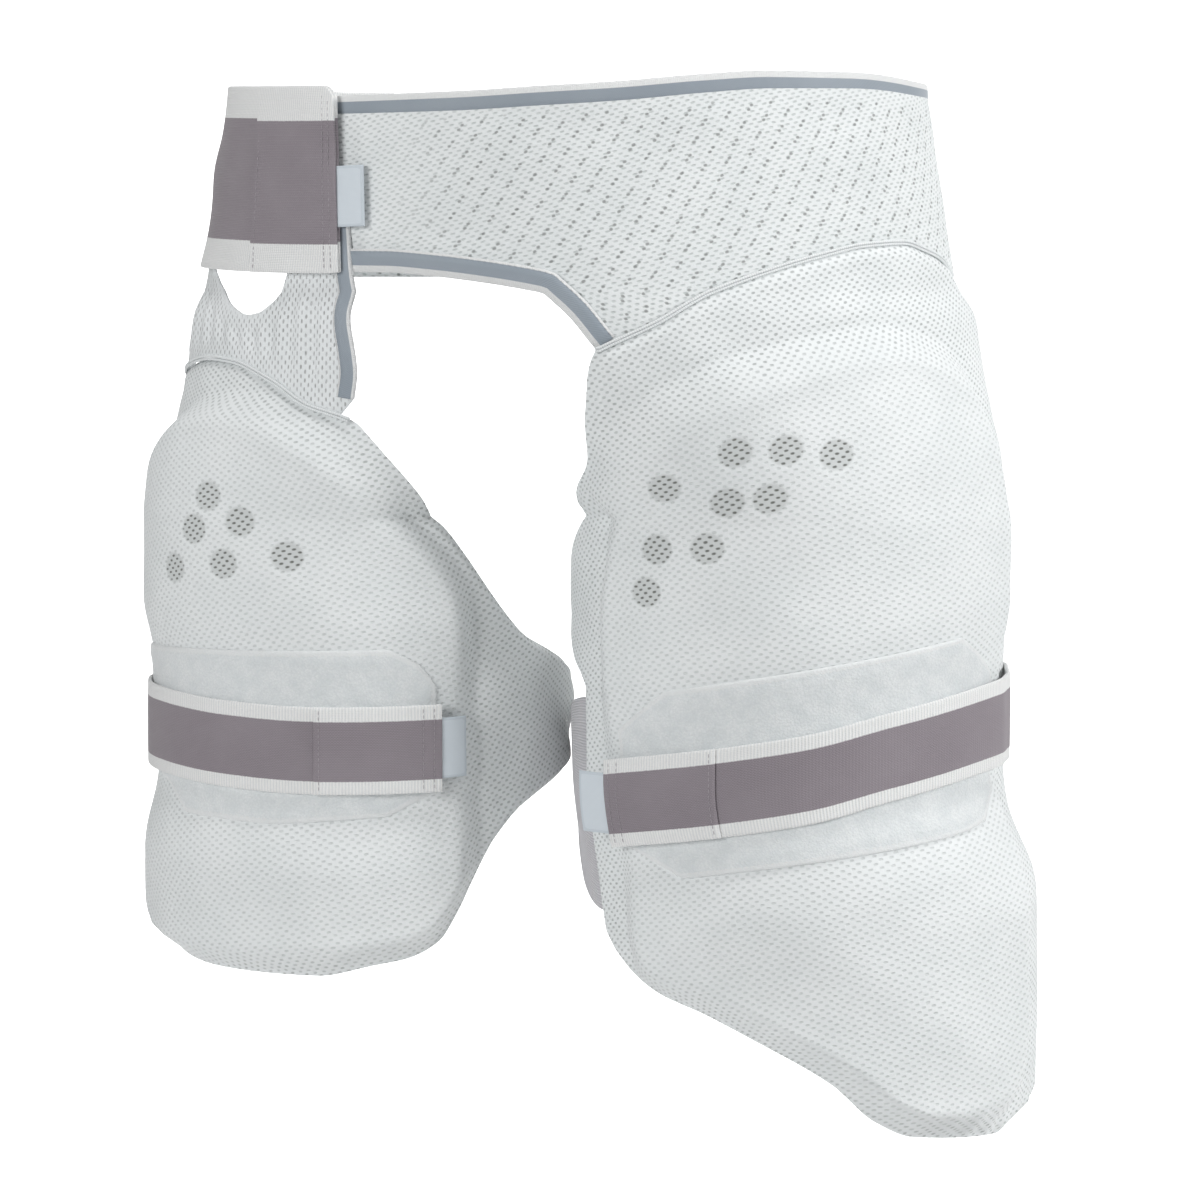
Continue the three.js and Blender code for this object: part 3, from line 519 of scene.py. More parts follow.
LOWER_BINDING_START = -60
LOWER_CORNER = 3.5
lower_turns = np.concatenate([lines(LOWER_BINDING_START, LOWER_CORNER, 0.8), lines(LOWER_CORNER + 0.8, SEAM_FRONT, 0.4)])
lower_path = [(turn, float(belt_bottom_z(turn)), BELT_THICKNESS + 0.05) for turn in lower_turns]
lower_section = [(-height, off) for height, off in binding_section][::-1]
lower_binding = swept("belt_lower_tape", LEFT, lower_path, lower_section, binding_across[::-1])
fit(lower_binding, tape_cloth, "grey_binding", "belt_lower_binding")


def thread_row(side, path, inset):
    """A row of stitches that runs beside a path of turns, heights and offs."""
    points, out, up = frames_along(side, path)
    return points + up * inset, out


tape_rows = [
    thread_row(LEFT, [(t, z, o + TAPE_THICKNESS) for t, z, o in top_path], -BINDING_WIDTH + 0.7),
    thread_row(LEFT, [(t, z, o + TAPE_THICKNESS) for t, z, o in lower_path], BINDING_WIDTH - 0.7),
]
tape_threads = fit(stitches("tape_stitches", tape_rows, 1.9, 0.34, 0.9), thread_cloth, "grey_binding")

# Main guard
# Foam in a knitted mesh cover on the wearer's left thigh: a thin sewn rim, a flange, a slope and a moulded
# dome, pressed in by the leg strap, with nine round places where the foam is cut through to let air in.
GUARD_RIM = 2.6
RIM_FLAT = 1.5
RIM_STEEPNESS = 1.4
CROWN_REACH = 45
STRAP_HEIGHT = 39
STRAP_BITE = 6
STRAP_BITE_REACH = 1.5
VENT_RADIUS = 6.7
VENT_DENT = 0.5
SEAM_GAP = 0.2
MAIN_SIZE = {"flange": 6, "dome": 17, "slope": 17, "crown": 2.5}
MAIN_INNER_EDGE = [
    (0.118, 5.5), (0.146, 0), (0.179, -7.5), (0.213, -17), (0.247, -29), (0.275, -45), (0.3, -60), (0.32, -68),
    (0.34, -76), (0.363, -85), (0.423, -85), (0.474, -72), (0.504, -60), (0.735, -59), (0.778, -56),
]
MAIN_OUTER_EDGE = [(0.038, 87), (0.08, 96), (0.206, 106), (0.66, 104), (0.81, 101), (0.95, 96)]
MAIN_LOWER_EDGE = [
    (0, 0.782), (0.046, 0.808), (0.138, 0.838), (0.237, 0.857), (0.342, 0.887), (0.46, 0.93), (0.533, 0.972),
    (0.605, 0.992), (0.8, 1), (0.85, 0.99), (0.95, 0.977), (1, 0.95),
]
MAIN_DOME = [
    (-38, 0.44), (-36, 0.36), (-32, 0.307), (-14, 0.259), (3, 0.222), (14, 0.194), (33, 0.156), (53, 0.131),
    (62, 0.141), (69, 0.169), (72, 0.22), (75, 0.4), (73, 0.56), (69, 0.68), (66, 0.78), (66, 0.9), (60, 0.945),
    (45, 0.962), (28, 0.95), (9, 0.882), (-3, 0.849), (-17, 0.819), (-29, 0.806), (-33, 0.78), (-34, 0.73),
    (-36, 0.6),
]
MAIN_VENTS = [
    (11, -119), (21, -118), (30, -120), (-11, -135), (0, -141), (10, -139), (-22, -162), (-9, -161), (-25, -181),
]
MAIN_STRAP_END = -39
MAIN_STRAP_ROOT = 270
MAIN_STRAP_ROUTE = [
    (MAIN_STRAP_END, 0.625), (-4, 0.602), (15, 0.587), (35, 0.564), (67, 0.539), (104, 0.529), (180, 0.55),
    (MAIN_STRAP_ROOT, 0.597),
]
PER_DEGREE = math.radians(1) * RIGHT_THIGH_HALF_WIDTH


def inside_by(outline, turn, z):
    """Distance in millimetres on the thigh from a closed outline, positive inside it."""
    turn, z = np.broadcast_arrays(turn, z)
    px, py = turn * PER_DEGREE, z
    ends = np.asarray(outline, float) * [PER_DEGREE, 1]
    starts = np.roll(ends, 1, axis=0)
    nearest = np.full(px.shape, np.inf)
    inside = np.zeros(px.shape, bool)
    for (ax, ay), (bx, by) in zip(starts, ends):
        if ay != by:
            crosses = ((by > py) != (ay > py)) & (px < ax + (py - ay) / (by - ay) * (bx - ax))
            inside ^= crosses
        length = max((bx - ax) ** 2 + (by - ay) ** 2, 1e-12)
        t = np.clip(((px - ax) * (bx - ax) + (py - ay) * (by - ay)) / length, 0, 1)
        nearest = np.minimum(nearest, np.hypot(px - mix(ax, bx, t), py - mix(ay, by, t)))
    return np.where(inside, nearest, -nearest)


def smooth_outline(corners, to_z, steps=5):
    """A smooth closed line through given corners of turns and shares of a guard's height."""
    knots = np.array([(turn, to_z(share)) for turn, share in corners], float)
    outline = []
    for i in range(len(knots)):
        a, b, c, d = (knots[(i + k) % len(knots)] for k in (-1, 0, 1, 2))
        gaps = [max(np.linalg.norm(q - p), 1e-6) ** 0.5 for p, q in ((a, b), (b, c), (c, d))]
        enter = gaps[1] * ((b - a) / gaps[0] - (c - a) / (gaps[0] + gaps[1]) + (c - b) / gaps[1])
        leave = gaps[1] * ((c - b) / gaps[1] - (d - b) / (gaps[1] + gaps[2]) + (d - c) / gaps[2])
        for t in np.arange(steps) / steps:
            outline.append(
                (2 * t**3 - 3 * t**2 + 1) * b + (t**3 - 2 * t**2 + t) * enter
                + (3 * t**2 - 2 * t**3) * c + (t**3 - t**2) * leave
            )
    return np.array(outline)


def smooth_least(a, b, blend):
    """The lesser of two heights, rounded where they meet."""
    meet = np.clip(0.5 + 0.5 * (b - a) / blend, 0, 1)
    return mix(b, a, meet) - blend * meet * (1 - meet)


def guard_face(outline, dome, size, strap_z, turn, z):
    """Height of a guard's face above the thigh, with its distances inside the dome's edge and its rim."""
    from_edge = np.maximum(inside_by(outline, turn, z), 0)
    from_dome = inside_by(dome, turn, z)
    climb = ease(1 + from_dome / size["slope"])
    crown = size["crown"] * ease(from_dome / CROWN_REACH)
    from_strap = np.abs(z - strap_z(turn)) / STRAP_HEIGHT
    pressed = STRAP_BITE * climb * ease(STRAP_BITE_REACH - from_strap)
    full = size["flange"] + (size["dome"] - size["flange"]) * climb + crown - pressed
    rim = GUARD_RIM + RIM_STEEPNESS * np.maximum(from_edge - RIM_FLAT, 0)
    return smooth_least(full, rim, 1.5), from_dome, from_edge


def edge_line(spot, count):
    """The closed outline of a guard, from its places at shares of its width and height."""
    run = np.arange(count) / count
    sides = [spot(run, 0 * run), spot(0 * run + 1, run), spot(1 - run, 0 * run + 1), spot(0 * run, 1 - run)]
    return np.concatenate([np.stack(side, -1) for side in sides])


def main_spot(u, v):
    """Turn and height at a share of the main guard's width and height."""
    left = along(MAIN_INNER_EDGE, mix(MAIN_INNER_EDGE[0][0], MAIN_INNER_EDGE[-1][0], v))
    right = along(MAIN_OUTER_EDGE, mix(MAIN_OUTER_EDGE[0][0], MAIN_OUTER_EDGE[-1][0], v))
    head = seam_z(mix(SEAM_FRONT, SEAM_BACK, u)) - SEAM_GAP
    return mix(left, right, u), mix(head, main_z(along(MAIN_LOWER_EDGE, u)), v)


def main_strap_z(turn):
    return main_z(along(MAIN_STRAP_ROUTE, turn))


main_outline = edge_line(main_spot, 60)
main_dome = smooth_outline(MAIN_DOME, main_z)


def main_face(turn, z):
    return guard_face(main_outline, main_dome, MAIN_SIZE, main_strap_z, turn, z)


def vent_distance(side, vents, turn, z):
    """Distance outside the nearest vent's edge, in millimetres on the cloth."""
    nearest = np.full(np.shape(turn), np.inf)
    points = on_body(side, turn, z, 0)
    for vent_turn, vent_z in vents:
        away = np.linalg.norm(points - on_body(side, float(vent_turn), float(vent_z), 0), axis=-1)
        nearest = np.minimum(nearest, away - VENT_RADIUS)
    return nearest


def guard_cover(name, side, spot, face, vents, size, columns, rows, seed, pucker):
    """A padded guard: its back lies on the thigh, and its face follows the foam under the cover."""
    share_across, share_down = lines(0, 1, 1 / columns, 0.012), lines(0, 1, 1 / rows, 0.012)
    turn, z = spot(share_across[:, None], share_down[None, :])
    height, from_dome, from_edge = face(turn, z)
    from_vent = vent_distance(side, vents, turn, z)
    across = reach_round(side, turn, z)
    dome_line = -0.35 * np.exp(-((from_dome + size["slope"] * 0.92) / 2.2) ** 2) + 0.3 * np.exp(-((from_dome - 1) / 3.5) ** 2)
    slack = 0.35 + 0.5 * ease(-from_dome / 10)
    height = height + slack * uneven(across, z, 42, seed) * ease(from_edge / 14) + dome_line * ease(from_edge / 6)
    height = height - VENT_DENT * ease(0.5 - from_vent / 3) + pucker(turn, z, across, from_edge)
    edge = rolled(from_edge, 2.4)
    front = mix(GUARD_RIM / 2, height, edge)
    back = GUARD_RIM / 2 * (1 - edge)
    return between(
        name,
        on_body(side, turn, z, front),
        on_body(side, turn, z, back),
        triple(across, -z),
        triple(from_dome, from_edge, from_vent),
    )


def main_puckers(turn, z, across, from_edge):
    """Gathers where the cover is drawn in round the guard's bottom and along its outer edge."""
    low = ease((main_z(0.9) - z) / 14) * ease((turn - 25) / 12)
    gathers = np.cos(across * 2 * math.pi / 12.5 + 1.5 * np.sin(across / 17))
    return -1.3 * low * (0.4 + 0.6 * gathers) * np.exp(-from_edge / 11) * ease(from_edge / 2)


main_guard = guard_cover(
    "main_guard_cover", LEFT, main_spot, main_face, MAIN_VENTS, MAIN_SIZE, 150, 200, 11, main_puckers
)

pad_mesh, tree, shader, cloth, marks = cloth_material("pad_mesh", 0.85, 0.2)
holes = place(
    tree,
    knit_holes,
    {"Cloth": cloth, "Across": 4.2, "Down": 1.77, "Width": 1.6, "Height": 0.95, "Slant": 0.2, "Softness": 0.5},
)
fibres = place(tree, yarn, {"Cloth": cloth})
# Painted shade: the knit's holes are painted dark for the shade behind the open knit. They are darker on the flange and
# the inner guard's wing than on the dome, and near black in the vents, whose ground is painted greyer too.
in_vent = ramp(tree, marks["Z"], 0.9, -0.9)
on_flange = ramp(tree, marks["X"], 4.0, -14.0)
flange_hole_shade = calc(tree, "MULTIPLY_ADD", on_flange, 0.3, 0.32)
varied = calc(tree, "MULTIPLY", flange_hole_shade, calc(tree, "MULTIPLY_ADD", holes["Cell"], 0.5, 0.75))
seen = calc(tree, "MAXIMUM", calc(tree, "MULTIPLY", in_vent, 0.95), varied)
shade = calc(tree, "MULTIPLY", holes["Hole"], seen)
behind = blend_colours(tree, in_vent, (0.36, 0.385, 0.38), (0.15, 0.16, 0.145))
ground = blend_colours(tree, ramp(tree, fibres["Patch"], 0.3, 0.7), (0.755, 0.785, 0.79), (0.795, 0.82, 0.825))
vent_ground = blend_colours(tree, calc(tree, "MULTIPLY", in_vent, 0.5), ground, (0.44, 0.46, 0.455))
colour = blend_colours(tree, shade, vent_ground, behind)
relief = calc(tree, "SUBTRACT", calc(tree, "MULTIPLY", fibres["Fibre"], 0.35), holes["Hole"])
finish_cloth(tree, shader, colour, relief, 0.35)
fit(main_guard, pad_mesh, "pad_mesh", "main_guard", "main_guard_inner_wing", "main_guard_outer_wing")

# Main piping
# Twin white cords in one folded strip of the cover's cloth, sewn over the seam between belt and guard.
CORD_RADIUS = 0.62
CORD_SPACING = 1.3
PIPING_OFF = GUARD_RIM + 0.5


def round_section(radius, middle, count=10):
    angles = np.linspace(0, 2 * math.pi, count, endpoint=False)
    return [(middle + radius * math.cos(a), radius * math.sin(a)) for a in angles]


piping_cloth, tree, shader, cloth, marks = cloth_material("piping_cloth", 0.8, 0.2)
fibres = place(tree, yarn, {"Cloth": cloth, "Fineness": 1.2})
flat = put(tree, "ShaderNodeSeparateXYZ", {0: cloth}).outputs
knit_rib = place(tree, ribs, {"Place": flat["X"], "Pitch": 1.1, "Sharpness": 0.8})["Rib"]
colour = blend_colours(tree, knit_rib, (0.69, 0.72, 0.725), (0.795, 0.82, 0.825))
finish_cloth(tree, shader, colour, calc(tree, "ADD", knit_rib, fibres["Fibre"]), 0.12)
main_piping_path = [(turn, float(seam_z(turn)), PIPING_OFF) for turn in lines(SEAM_FRONT - 0.5, SEAM_BACK, 0.8)]
main_piping = [
    swept(f"main_piping_cord_{i + 1}", LEFT, main_piping_path, round_section(CORD_RADIUS, middle))
    for i, middle in enumerate((CORD_SPACING / 2, -CORD_SPACING / 2))
]
fit(main_piping[0], piping_cloth, "pad_mesh", "main_piping")
fit(main_piping[1], piping_cloth, "pad_mesh", "main_piping")

# Inner guard
# The same padding and cover on the right thigh: a smaller dome with six air vents, and a thin wing that goes
# round the inner thigh from a soft crease.
INNER_TOP = -80
INNER_HEIGHT = 276
INNER_LEFT = -95
INNER_RIGHT = 125
INNER_SIZE = {"flange": 4.5, "dome": 15, "slope": 15, "crown": 2}
INNER_UPPER_EDGE = [
    (INNER_LEFT, 0.045), (-78, 0.022), (-57, 0), (-49, 0.004), (-36, 0.033), (-24, 0.072), (-12, 0.096),
    (-4, 0.125), (3, 0.151), (13, 0.187), (27, 0.236), (35, 0.266), (43, 0.319), (48, 0.356), (56, 0.409),
    (65, 0.453), (72, 0.469), (89, 0.499), (105, 0.52), (INNER_RIGHT, 0.535),
]
INNER_LOWER_EDGE = [
    (INNER_LEFT, 0.87), (-86, 0.92), (-74, 0.95), (-63, 0.98), (-35, 0.997), (-1, 1), (15, 0.982), (25, 0.971),
    (34, 0.946), (40, 0.899), (46, 0.837), (52, 0.786), (64, 0.732), (85, 0.696), (105, 0.68), (INNER_RIGHT, 0.675),
]
INNER_DOME = [
    (-78, 0.34), (-72, 0.22), (-62, 0.14), (-49, 0.105), (-35, 0.105), (-17, 0.149), (3, 0.214), (20, 0.29),
    (30, 0.345), (35, 0.4), (37, 0.6), (37, 0.8), (34, 0.89), (27, 0.925), (13, 0.94), (-6, 0.95), (-52, 0.948),
    (-68, 0.935), (-75, 0.88), (-74, 0.6),
]
INNER_VENTS = [(-32, -141), (-34, -156), (-19, -152), (-42, -174), (-24, -171), (-6, -167)]
INNER_CREASE = 46
INNER_STRAP_END = 32.5
INNER_STRAP_ROOT = INNER_RIGHT - 360 - 8
INNER_STRAP_ROUTE = [
    (INNER_STRAP_ROOT, 0.605), (-90, 0.605), (-54, 0.611), (-25, 0.622), (0, 0.628), (INNER_STRAP_END, 0.625),
]


def inner_z(share):
    return INNER_TOP - share * INNER_HEIGHT


def inner_spot(u, v):
    """Turn and height at a share of the inner guard's width and height."""
    turn = mix(INNER_LEFT, INNER_RIGHT, u)
    return turn + 0 * v, mix(inner_z(along(INNER_UPPER_EDGE, turn)), inner_z(along(INNER_LOWER_EDGE, turn)), v)


def inner_strap_z(turn):
    return inner_z(along(INNER_STRAP_ROUTE, turn))


inner_outline = edge_line(inner_spot, 60)
inner_dome = smooth_outline(INNER_DOME, inner_z)


def inner_face(turn, z):
    return guard_face(inner_outline, inner_dome, INNER_SIZE, inner_strap_z, turn, z)


def inner_puckers(turn, z, across, from_edge):
    """The wing's crease, and the folds that fan out from it."""
    crease = -0.9 * np.exp(-((turn - INNER_CREASE - 2 * np.sin(z / 30)) / 2.6) ** 2)
    fan = 0.8 * np.cos((z + 0.6 * across) * 2 * math.pi / 34) * ease((turn - INNER_CREASE) / 10)
    low = 0.5 * ease((inner_z(0.93) - z) / 8) * np.cos(across * 2 * math.pi / 15) * np.exp(-from_edge / 10)
    return (crease + fan + low) * ease(from_edge / 12)


inner_guard = guard_cover(
    "inner_guard_cover", RIGHT, inner_spot, inner_face, INNER_VENTS, INNER_SIZE, 170, 140, 23, inner_puckers
)
fit(inner_guard, pad_mesh, "pad_mesh", "inner_guard", "inner_guard_wing")

# Yoke
# Limp mesh with tall oval holes, in soft gathers, that hangs the inner guard from the belt. Its top edge has
# a U-shaped notch under the elastic, and its free edge is bound in the same grey tape.
YOKE_TOP = -12
YOKE_LEFT = -88
YOKE_RIGHT = -29
YOKE_FOOT_TURN = -12
YOKE_THICKNESS = 1.3
YOKE_TAPE_WIDTH = 7.4
YOKE_IN = BELT_THICKNESS + 0.5
YOKE_DROP = YOKE_TOP - INNER_TOP
YOKE_HEAD = [
    (YOKE_LEFT, 0), (-72.5, 0), (-70.5, 0.36), (-65.7, 0.465), (-59, 0.585), (-53, 0.67), (-48, 0.71),
    (-45, 0.695), (-42.6, 0.62), (-41.6, 0.51), (-41, 0.4), (-39.8, 0), (YOKE_RIGHT - 1, 0), (YOKE_RIGHT, 0.15),
    (-27.6, 0.446), (-25.2, 0.71), (-22.5, 0.907), (-18.3, 1.106), (-14.5, 1.28), (YOKE_FOOT_TURN, 1.36),
]


def yoke_head_z(turn):
    return YOKE_TOP - YOKE_DROP * along(YOKE_HEAD, turn)


def yoke_foot_z(turn):
    return inner_z(along(INNER_UPPER_EDGE, turn)) + 0.3


yoke_turns = np.unique(np.concatenate([lines(YOKE_LEFT, -15, 0.6), lines(-73, -70, 0.15), lines(-42.8, -39.6, 0.15)]))
down = lines(0, 1, 0.03, 0.03)[None, :]
head, foot = yoke_head_z(yoke_turns)[:, None], yoke_foot_z(yoke_turns)[:, None]
yoke_z = mix(head, foot, down)
yoke_turn = np.broadcast_to(yoke_turns[:, None], yoke_z.shape)
across = reach_round(RIGHT, yoke_turn, yoke_z)
gathers = np.cos(across * 2 * math.pi / 13 + 1.2 * np.sin(across / 21) + 0.5 * np.sin(yoke_z / 25))
free = ease((-44 - yoke_z) / 10) * ease((yoke_z - foot) / 9)
from_yoke_edge = np.minimum(head - yoke_z, yoke_z - foot)
yoke_corners = np.concatenate([np.stack([yoke_turns, head[:, 0]], -1), np.stack([yoke_turns, foot[:, 0]], -1)[::-1]])
from_tape = np.maximum(inside_by(yoke_corners, yoke_turn, yoke_z), 0)
limp = (0.3 + 0.6 * free) * ease((from_tape - YOKE_TAPE_WIDTH * 0.6) / 6)
middle = YOKE_IN + YOKE_THICKNESS / 2 + limp * (gathers + 0.4 * uneven(across, yoke_z, 30, 7))
half = YOKE_THICKNESS / 2 * rolled(np.maximum(from_yoke_edge, 0.15), 0.7)
yoke = between(
    "yoke_cloth",
    on_body(RIGHT, yoke_turn, yoke_z, middle + half),
    on_body(RIGHT, yoke_turn, yoke_z, middle - half),
    triple(across, -yoke_z),
    triple(head - yoke_z, yoke_z - foot),
)
yoke_mesh, tree, shader, cloth, marks = cloth_material("yoke_mesh", 0.8, 0.15)
holes = place(
    tree,
    knit_holes,
    {"Cloth": cloth, "Across": 4.0, "Down": 1.9, "Width": 1.7, "Height": 0.7, "Slant": 1.5708, "Softness": 0.5},
)
fibres = place(tree, yarn, {"Cloth": cloth})
clear_of_edge = calc(tree, "MULTIPLY", ramp(tree, marks["X"], 1.5, 3.0), ramp(tree, marks["Y"], 1.0, 2.0))
# Painted shade: the holes are painted near black, some darker than others, for the shade seen through the open mesh;
# none are painted close to the edges.
hole_shade_depth = calc(tree, "MULTIPLY_ADD", holes["Cell"], 0.3, 0.35)
shade = calc(tree, "MULTIPLY", calc(tree, "MULTIPLY", holes["Hole"], hole_shade_depth), clear_of_edge)
ground = blend_colours(tree, ramp(tree, fibres["Patch"], 0.3, 0.7), (0.745, 0.775, 0.78), (0.80, 0.825, 0.835))
colour = blend_colours(tree, shade, ground, (0.20, 0.20, 0.19))
relief = calc(tree, "SUBTRACT", calc(tree, "MULTIPLY", fibres["Fibre"], 0.35), holes["Hole"])
finish_cloth(tree, shader, colour, relief, 0.4)
fit(yoke, yoke_mesh, "yoke_mesh", "yoke")

yoke_edge_turns = lines(YOKE_RIGHT - 0.6, -15.2, 0.35)
yoke_edge_path = [(t, float(yoke_head_z(t)), YOKE_IN + YOKE_THICKNESS + 0.15) for t in yoke_edge_turns]
YOKE_TAPE_BACK = 4.2
yoke_section = tape_profile(YOKE_TAPE_WIDTH, YOKE_TAPE_BACK, BINDING_LAP, TAPE_THICKNESS)
yoke_section = [(height, off if off > 0 else off * 0.62) for height, off in yoke_section]
yoke_tape_across = [height - TAPE_LIP + 0.3 for height, _ in yoke_section]
yoke_tape = swept("yoke_tape", RIGHT, yoke_edge_path, yoke_section, yoke_tape_across)
fit(yoke_tape, tape_cloth, "grey_binding", "yoke_binding")
yoke_rows = [thread_row(RIGHT, [(t, z, o + TAPE_THICKNESS) for t, z, o in yoke_edge_path], -YOKE_TAPE_WIDTH + 0.7)]
yoke_threads = fit(stitches("yoke_stitches", yoke_rows, 1.9, 0.34, 0.9), thread_cloth, "grey_binding")

inner_piping_path = [
    (turn, float(yoke_foot_z(turn)) - 0.2, YOKE_IN + YOKE_THICKNESS + 0.5) for turn in lines(YOKE_LEFT, -12, 0.8)
]
inner_piping = [
    swept(f"inner_piping_cord_{i + 1}", RIGHT, inner_piping_path, round_section(CORD_RADIUS, middle))
    for i, middle in enumerate((CORD_SPACING / 2, -CORD_SPACING / 2))
]
fit(inner_piping[0], piping_cloth, "pad_mesh", "inner_piping")
fit(inner_piping[1], piping_cloth, "pad_mesh", "inner_piping")

# Waist elastic
# Wide woven elastic, mauve grey with white ribbed edges, sewn over the belt's back end. It comes round the
# right side and closes on the wearer's front, where its end is folded double and holds a blank label.
ELASTIC_HEIGHT = 83
ELASTIC_BAND = 54
ELASTIC_FRONT_END = -31
ELASTIC_BACK_END = BELT_BACK_END - 360 - 12
ELASTIC_FOLD = 20
ELASTIC_RISE = 3
ELASTIC_RISE_REACH = 60
ELASTIC_DROP = 0.3
ELASTIC_LEAN = 4.2
ELASTIC_THICKNESS = 2
ELASTIC_IN = 5.7
ELASTIC_CORNER = 8
FOLD_THICKNESS = 1.6
MAUVE = (0.255, 0.225, 0.25)


def elastic_middle_z(turn):
    return ELASTIC_RISE * ease((ELASTIC_FRONT_END - turn) / ELASTIC_RISE_REACH) - ELASTIC_DROP


def waist_band(name, start, end, inner, thickness, start_lean=0.0):
    """A length of the waist elastic. Its end leans back towards the top, and so does its start by a share."""
    share = lines(0, 1, 0.9 / (end - start), 0.02)[:, None]
    across = lines(-0.5, 0.5, 1.6 / ELASTIC_HEIGHT, 0.012)[None, :]
    turn = mix(start + ELASTIC_LEAN * across * start_lean, end + ELASTIC_LEAN * across, share)
    to_end = np.maximum(girth(LEFT, end + ELASTIC_LEAN * across, 0.0) - girth(LEFT, turn, 0.0), 0)
    cut = ELASTIC_CORNER - np.sqrt(np.maximum(ELASTIC_CORNER**2 - np.maximum(ELASTIC_CORNER - to_end, 0) ** 2, 0))
    height = across * ELASTIC_HEIGHT
    height = np.where(height < 0, height * (1 - cut / (ELASTIC_HEIGHT / 2)), height * (1 - 0.2 * cut / ELASTIC_HEIGHT))
    z = elastic_middle_z(turn) - height
    from_edge = np.minimum((0.5 - np.abs(across)) * ELASTIC_HEIGHT + 0 * share, to_end)
    bunched = 1.1 * ease((-68 - turn) / 14) * np.sin((z + 8) * 2 * math.pi / 46) * ease((turn + 125) / 20)
    rippled = 0.35 * uneven(girth(LEFT, turn, 0.0), z, 38, 31)
    middle = inner + thickness / 2 + bunched + rippled
    half = thickness / 2 * rolled(from_edge, 0.9)
    place_on_cloth = triple(girth(LEFT, turn, 0.0), -height)
    distances = triple(to_end, from_edge, turn)
    return between(
        name, on_body(LEFT, turn, z, middle + half), on_body(LEFT, turn, z, middle - half), place_on_cloth, distances
    )


def striped_elastic(name, band, rib_pitch, band_down):
    """Woven elastic: a plain mauve band between white edges with fine ribs across."""
    material, tree, shader, cloth, marks = cloth_material(name, 0.75, 0.2)
    flat = put(tree, "ShaderNodeSeparateXYZ", {0: cloth}).outputs
    fibres = place(tree, yarn, {"Cloth": cloth, "Fineness": 1.8})
    wobble = calc(tree, "MULTIPLY_ADD", fibres["Fibre"], 0.5, flat["Y"])
    from_middle = calc(tree, "ABSOLUTE", calc(tree, "ADD", wobble, band_down))
    white = ramp(tree, from_middle, band / 2 + 0.1, band / 2 + 0.5)
    across_ribs = place(tree, ribs, {"Place": flat["X"], "Pitch": rib_pitch, "Sharpness": 1.0})["Rib"]
    along_ribs = place(tree, ribs, {"Place": flat["Y"], "Pitch": 0.75, "Sharpness": 1.0})["Rib"]
    grain = place(tree, knit_holes, {"Cloth": cloth, "Across": 1.1, "Down": 0.6, "Width": 0.6, "Height": 0.4})
    dark_mauve = blend_colours(tree, along_ribs, (0.205, 0.18, 0.20), MAUVE)
    speckled = blend_colours(tree, calc(tree, "MULTIPLY", grain["Hole"], 0.25), dark_mauve, (0.42, 0.39, 0.42))
    faded = blend_colours(tree, ramp(tree, fibres["Patch"], 0.3, 0.75, 0.0, 0.35), speckled, (0.31, 0.28, 0.305))
    white_ribs = blend_colours(tree, across_ribs, (0.70, 0.715, 0.72), (0.82, 0.82, 0.81))
    colour = blend_colours(tree, white, faded, white_ribs)
    plain = calc(tree, "ADD", calc(tree, "MULTIPLY", along_ribs, 0.45), calc(tree, "MULTIPLY", across_ribs, 0.25))
    height = calc(tree, "ADD", plain, calc(tree, "MULTIPLY", across_ribs, calc(tree, "MULTIPLY", white, 0.6)))
    finish_cloth(tree, shader, colour, height, 0.22)
    return material


waist_cloth = striped_elastic("waist_elastic_cloth", ELASTIC_BAND, 1.3, 0.0)
waist_elastic = waist_band("waist_elastic_cloth", ELASTIC_BACK_END, ELASTIC_FRONT_END, ELASTIC_IN, ELASTIC_THICKNESS)
fit(waist_elastic, waist_cloth, "striped_elastic", "waist_elastic")
fold_cloth = striped_elastic("waist_fold_cloth", ELASTIC_BAND, 1.3, 1.2)
waist_fold = waist_band(
    "waist_elastic_fold_cloth",
    ELASTIC_FRONT_END - ELASTIC_FOLD,
    ELASTIC_FRONT_END,
    ELASTIC_IN + ELASTIC_THICKNESS + 0.1,
    FOLD_THICKNESS,
    1.0,
)
fit(waist_fold, fold_cloth, "striped_elastic", "waist_elastic_fold")


mauve_thread, tree, shader, cloth, marks = cloth_material("mauve_thread", 0.6, 0.3)
spun = place(tree, yarn, {"Cloth": cloth, "Fineness": 5.0})
colour = blend_colours(tree, spun["Fibre"], (0.30, 0.275, 0.30), (0.44, 0.41, 0.44))
finish_cloth(tree, shader, colour, spun["Fibre"], 0.08)


def upright_row(side, turn, low, high, off, slant=0.0):
    """A row of stitches up a band at a turn, between two heights."""
    z = np.linspace(low, high, 30)
    turns = turn + slant * np.linspace(-0.5, 0.5, 30)
    points = on_body(side, turns, z, off)
    return points, on_body(side, turns, z, off + 1) - points


fold_top = ELASTIC_IN + ELASTIC_THICKNESS + FOLD_THICKNESS + 0.15
waist_low, waist_high = -ELASTIC_HEIGHT / 2 - ELASTIC_DROP, ELASTIC_HEIGHT / 2 - ELASTIC_DROP
waist_rows = [
    upright_row(LEFT, ELASTIC_FRONT_END - 1.3, waist_low + 2, waist_high - 5, fold_top, -ELASTIC_LEAN),
    upright_row(LEFT, ELASTIC_FRONT_END - 2.6, waist_low + 2, waist_high - 3, fold_top, -ELASTIC_LEAN),
    upright_row(LEFT, ELASTIC_FRONT_END - ELASTIC_FOLD + 1, waist_low + 2, waist_high - 2, fold_top, -ELASTIC_LEAN),
]
waist_threads = fit(stitches("waist_stitches", waist_rows, 1.8, 0.3, 0.9), mauve_thread, "striped_elastic")

